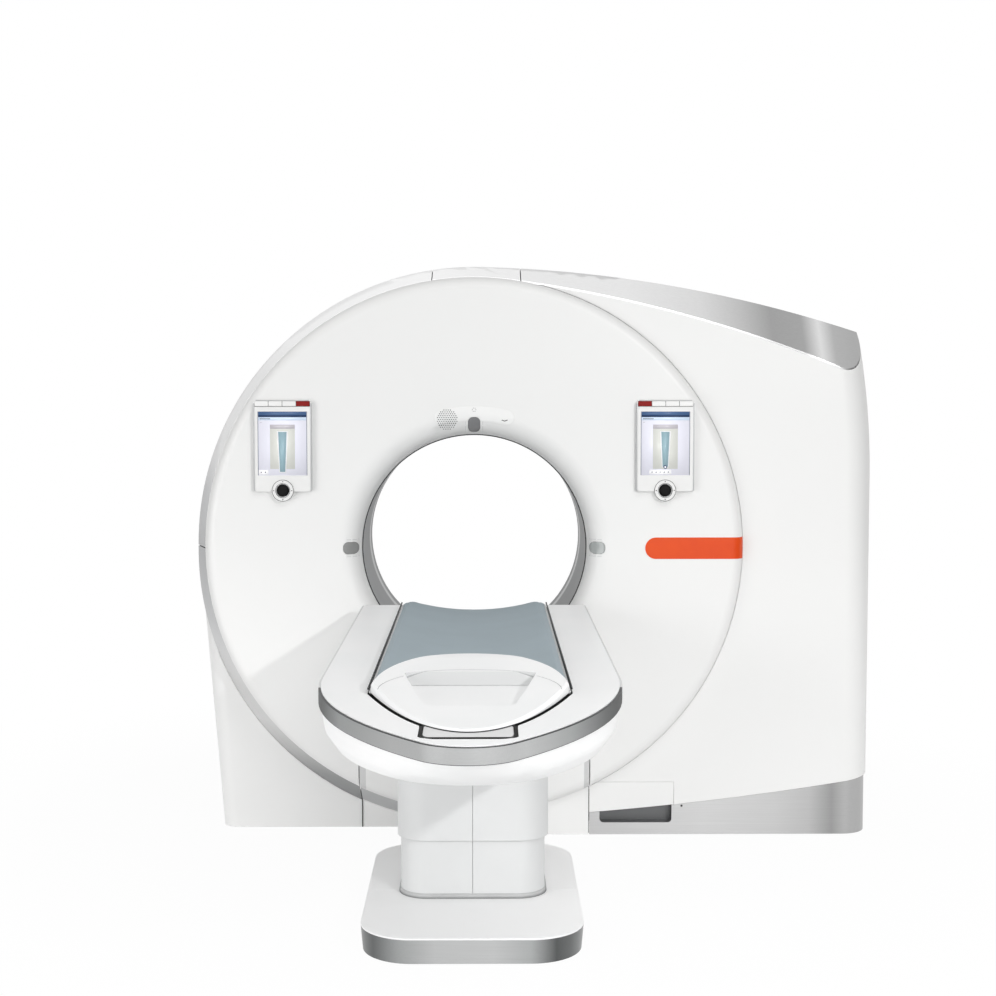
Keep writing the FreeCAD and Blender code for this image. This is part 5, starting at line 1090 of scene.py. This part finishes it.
def make_floor():
    shape = bmesh.new()
    bmesh.ops.create_grid(shape, x_segments=1, y_segments=1, size=30)
    floor = as_object("floor", shape)
    material = bpy.data.materials.new("pale_floor")
    material.use_nodes = True
    tree = material.node_tree
    tree.nodes.clear()
    output = add_node(tree, "ShaderNodeOutputMaterial")
    sheet = add_node(tree, "ShaderNodeBsdfDiffuse", Color=linear("#E9E9E9"))
    glow = add_node(tree, "ShaderNodeEmission", Color=WHITE_LIGHT, Strength=1.0)
    place = add_node(tree, "ShaderNodeTexCoord").outputs["Object"]
    reach = add_node(tree, "ShaderNodeVectorMath", {"operation": "LENGTH"}, _0=place)
    fade = add_node(tree, "ShaderNodeMapRange", {"interpolation_type": "SMOOTHSTEP"},
                    Value=reach.outputs["Value"], From_Min=0.6, From_Max=2.6, To_Min=0.95, To_Max=1.0)
    share = add_node(tree, "ShaderNodeMath", {"operation": "MULTIPLY"}, _0=seen_directly(tree),
                     _1=fade.outputs["Result"])
    mix = add_node(tree, "ShaderNodeMixShader", _0=share.outputs[0], _1=sheet.outputs[0],
                   _2=glow.outputs[0])
    tree.links.new(mix.outputs[0], output.inputs["Surface"])
    floor.data.materials.append(material)


def make_backdrop():
    world = bpy.data.worlds.new("white_room")
    scene.world = world
    world.use_nodes = True
    tree = world.node_tree
    tree.nodes.clear()
    output = add_node(tree, "ShaderNodeOutputWorld")
    light = add_node(tree, "ShaderNodeBackground", Color=WHITE_LIGHT, Strength=0.5)
    white = add_node(tree, "ShaderNodeBackground", Color=WHITE_LIGHT, Strength=1.0)
    mix = add_node(tree, "ShaderNodeMixShader", _0=seen_directly(tree), _1=light.outputs[0],
                   _2=white.outputs[0])
    tree.links.new(mix.outputs[0], output.inputs["Surface"])


make_floor()
make_backdrop()
print("the room is white and its floor pale")

# %% [markdown]
# A studio photographer puts black cards beside a metal object, out of the picture. Metal shows
# nothing but its surroundings, so without the cards a brushed band would look like grey paint.

# %% Dark cards at both sides, seen only in reflections
def dark_card(name, side):
    shape = bmesh.new()
    aside, half_thick = side * 5.0, 0.05
    add_plate(shape, (aside - half_thick, -6.0, 0.2), (aside + half_thick, 1.5, 3.4))
    card = as_object(name, shape)
    card.data.materials.append(finishes["stick_black_rubber"])
    card.visible_camera = card.visible_diffuse = card.visible_shadow = False


dark_card("dark_card_left", -1)
dark_card("dark_card_right", 1)
print("two dark cards stand beside the machine")

# %% [markdown]
# Four lamps light the machine. The small one on the right throws the shadow of the table on the
# gantry; the others are three metres wide, so their own shadows are too soft to see. They stay weak
# enough that no white cover burns out.

# %% Soft studio lamps
def soft_lamp(name, place, aim, size, watts):
    data = bpy.data.lights.new(name, "AREA")
    data.shape = "DISK"
    data.size = size
    data.energy = watts
    lamp = bpy.data.objects.new(name, data)
    lamp.location = place
    lamp.rotation_euler = (Vector(aim) - Vector(place)).to_track_quat("-Z", "Y").to_euler()
    scene.collection.objects.link(lamp)


at_the_bore, at_the_base = (0, -0.6, 0.9), (0, -0.6, 0.6)
soft_lamp("key_right", (2.48, -5.76, 2.7), at_the_bore, 0.22, 80)
soft_lamp("high_soft", (1.6, -4.2, 4.8), at_the_bore, 3.0, 58)
soft_lamp("fill_left", (-4.0, -4.4, 1.4), at_the_base, 3.0, 80)
soft_lamp("low_front", (0.6, -7.5, 0.5), at_the_base, 3.0, 44)
scene.view_settings.view_transform = "Standard"
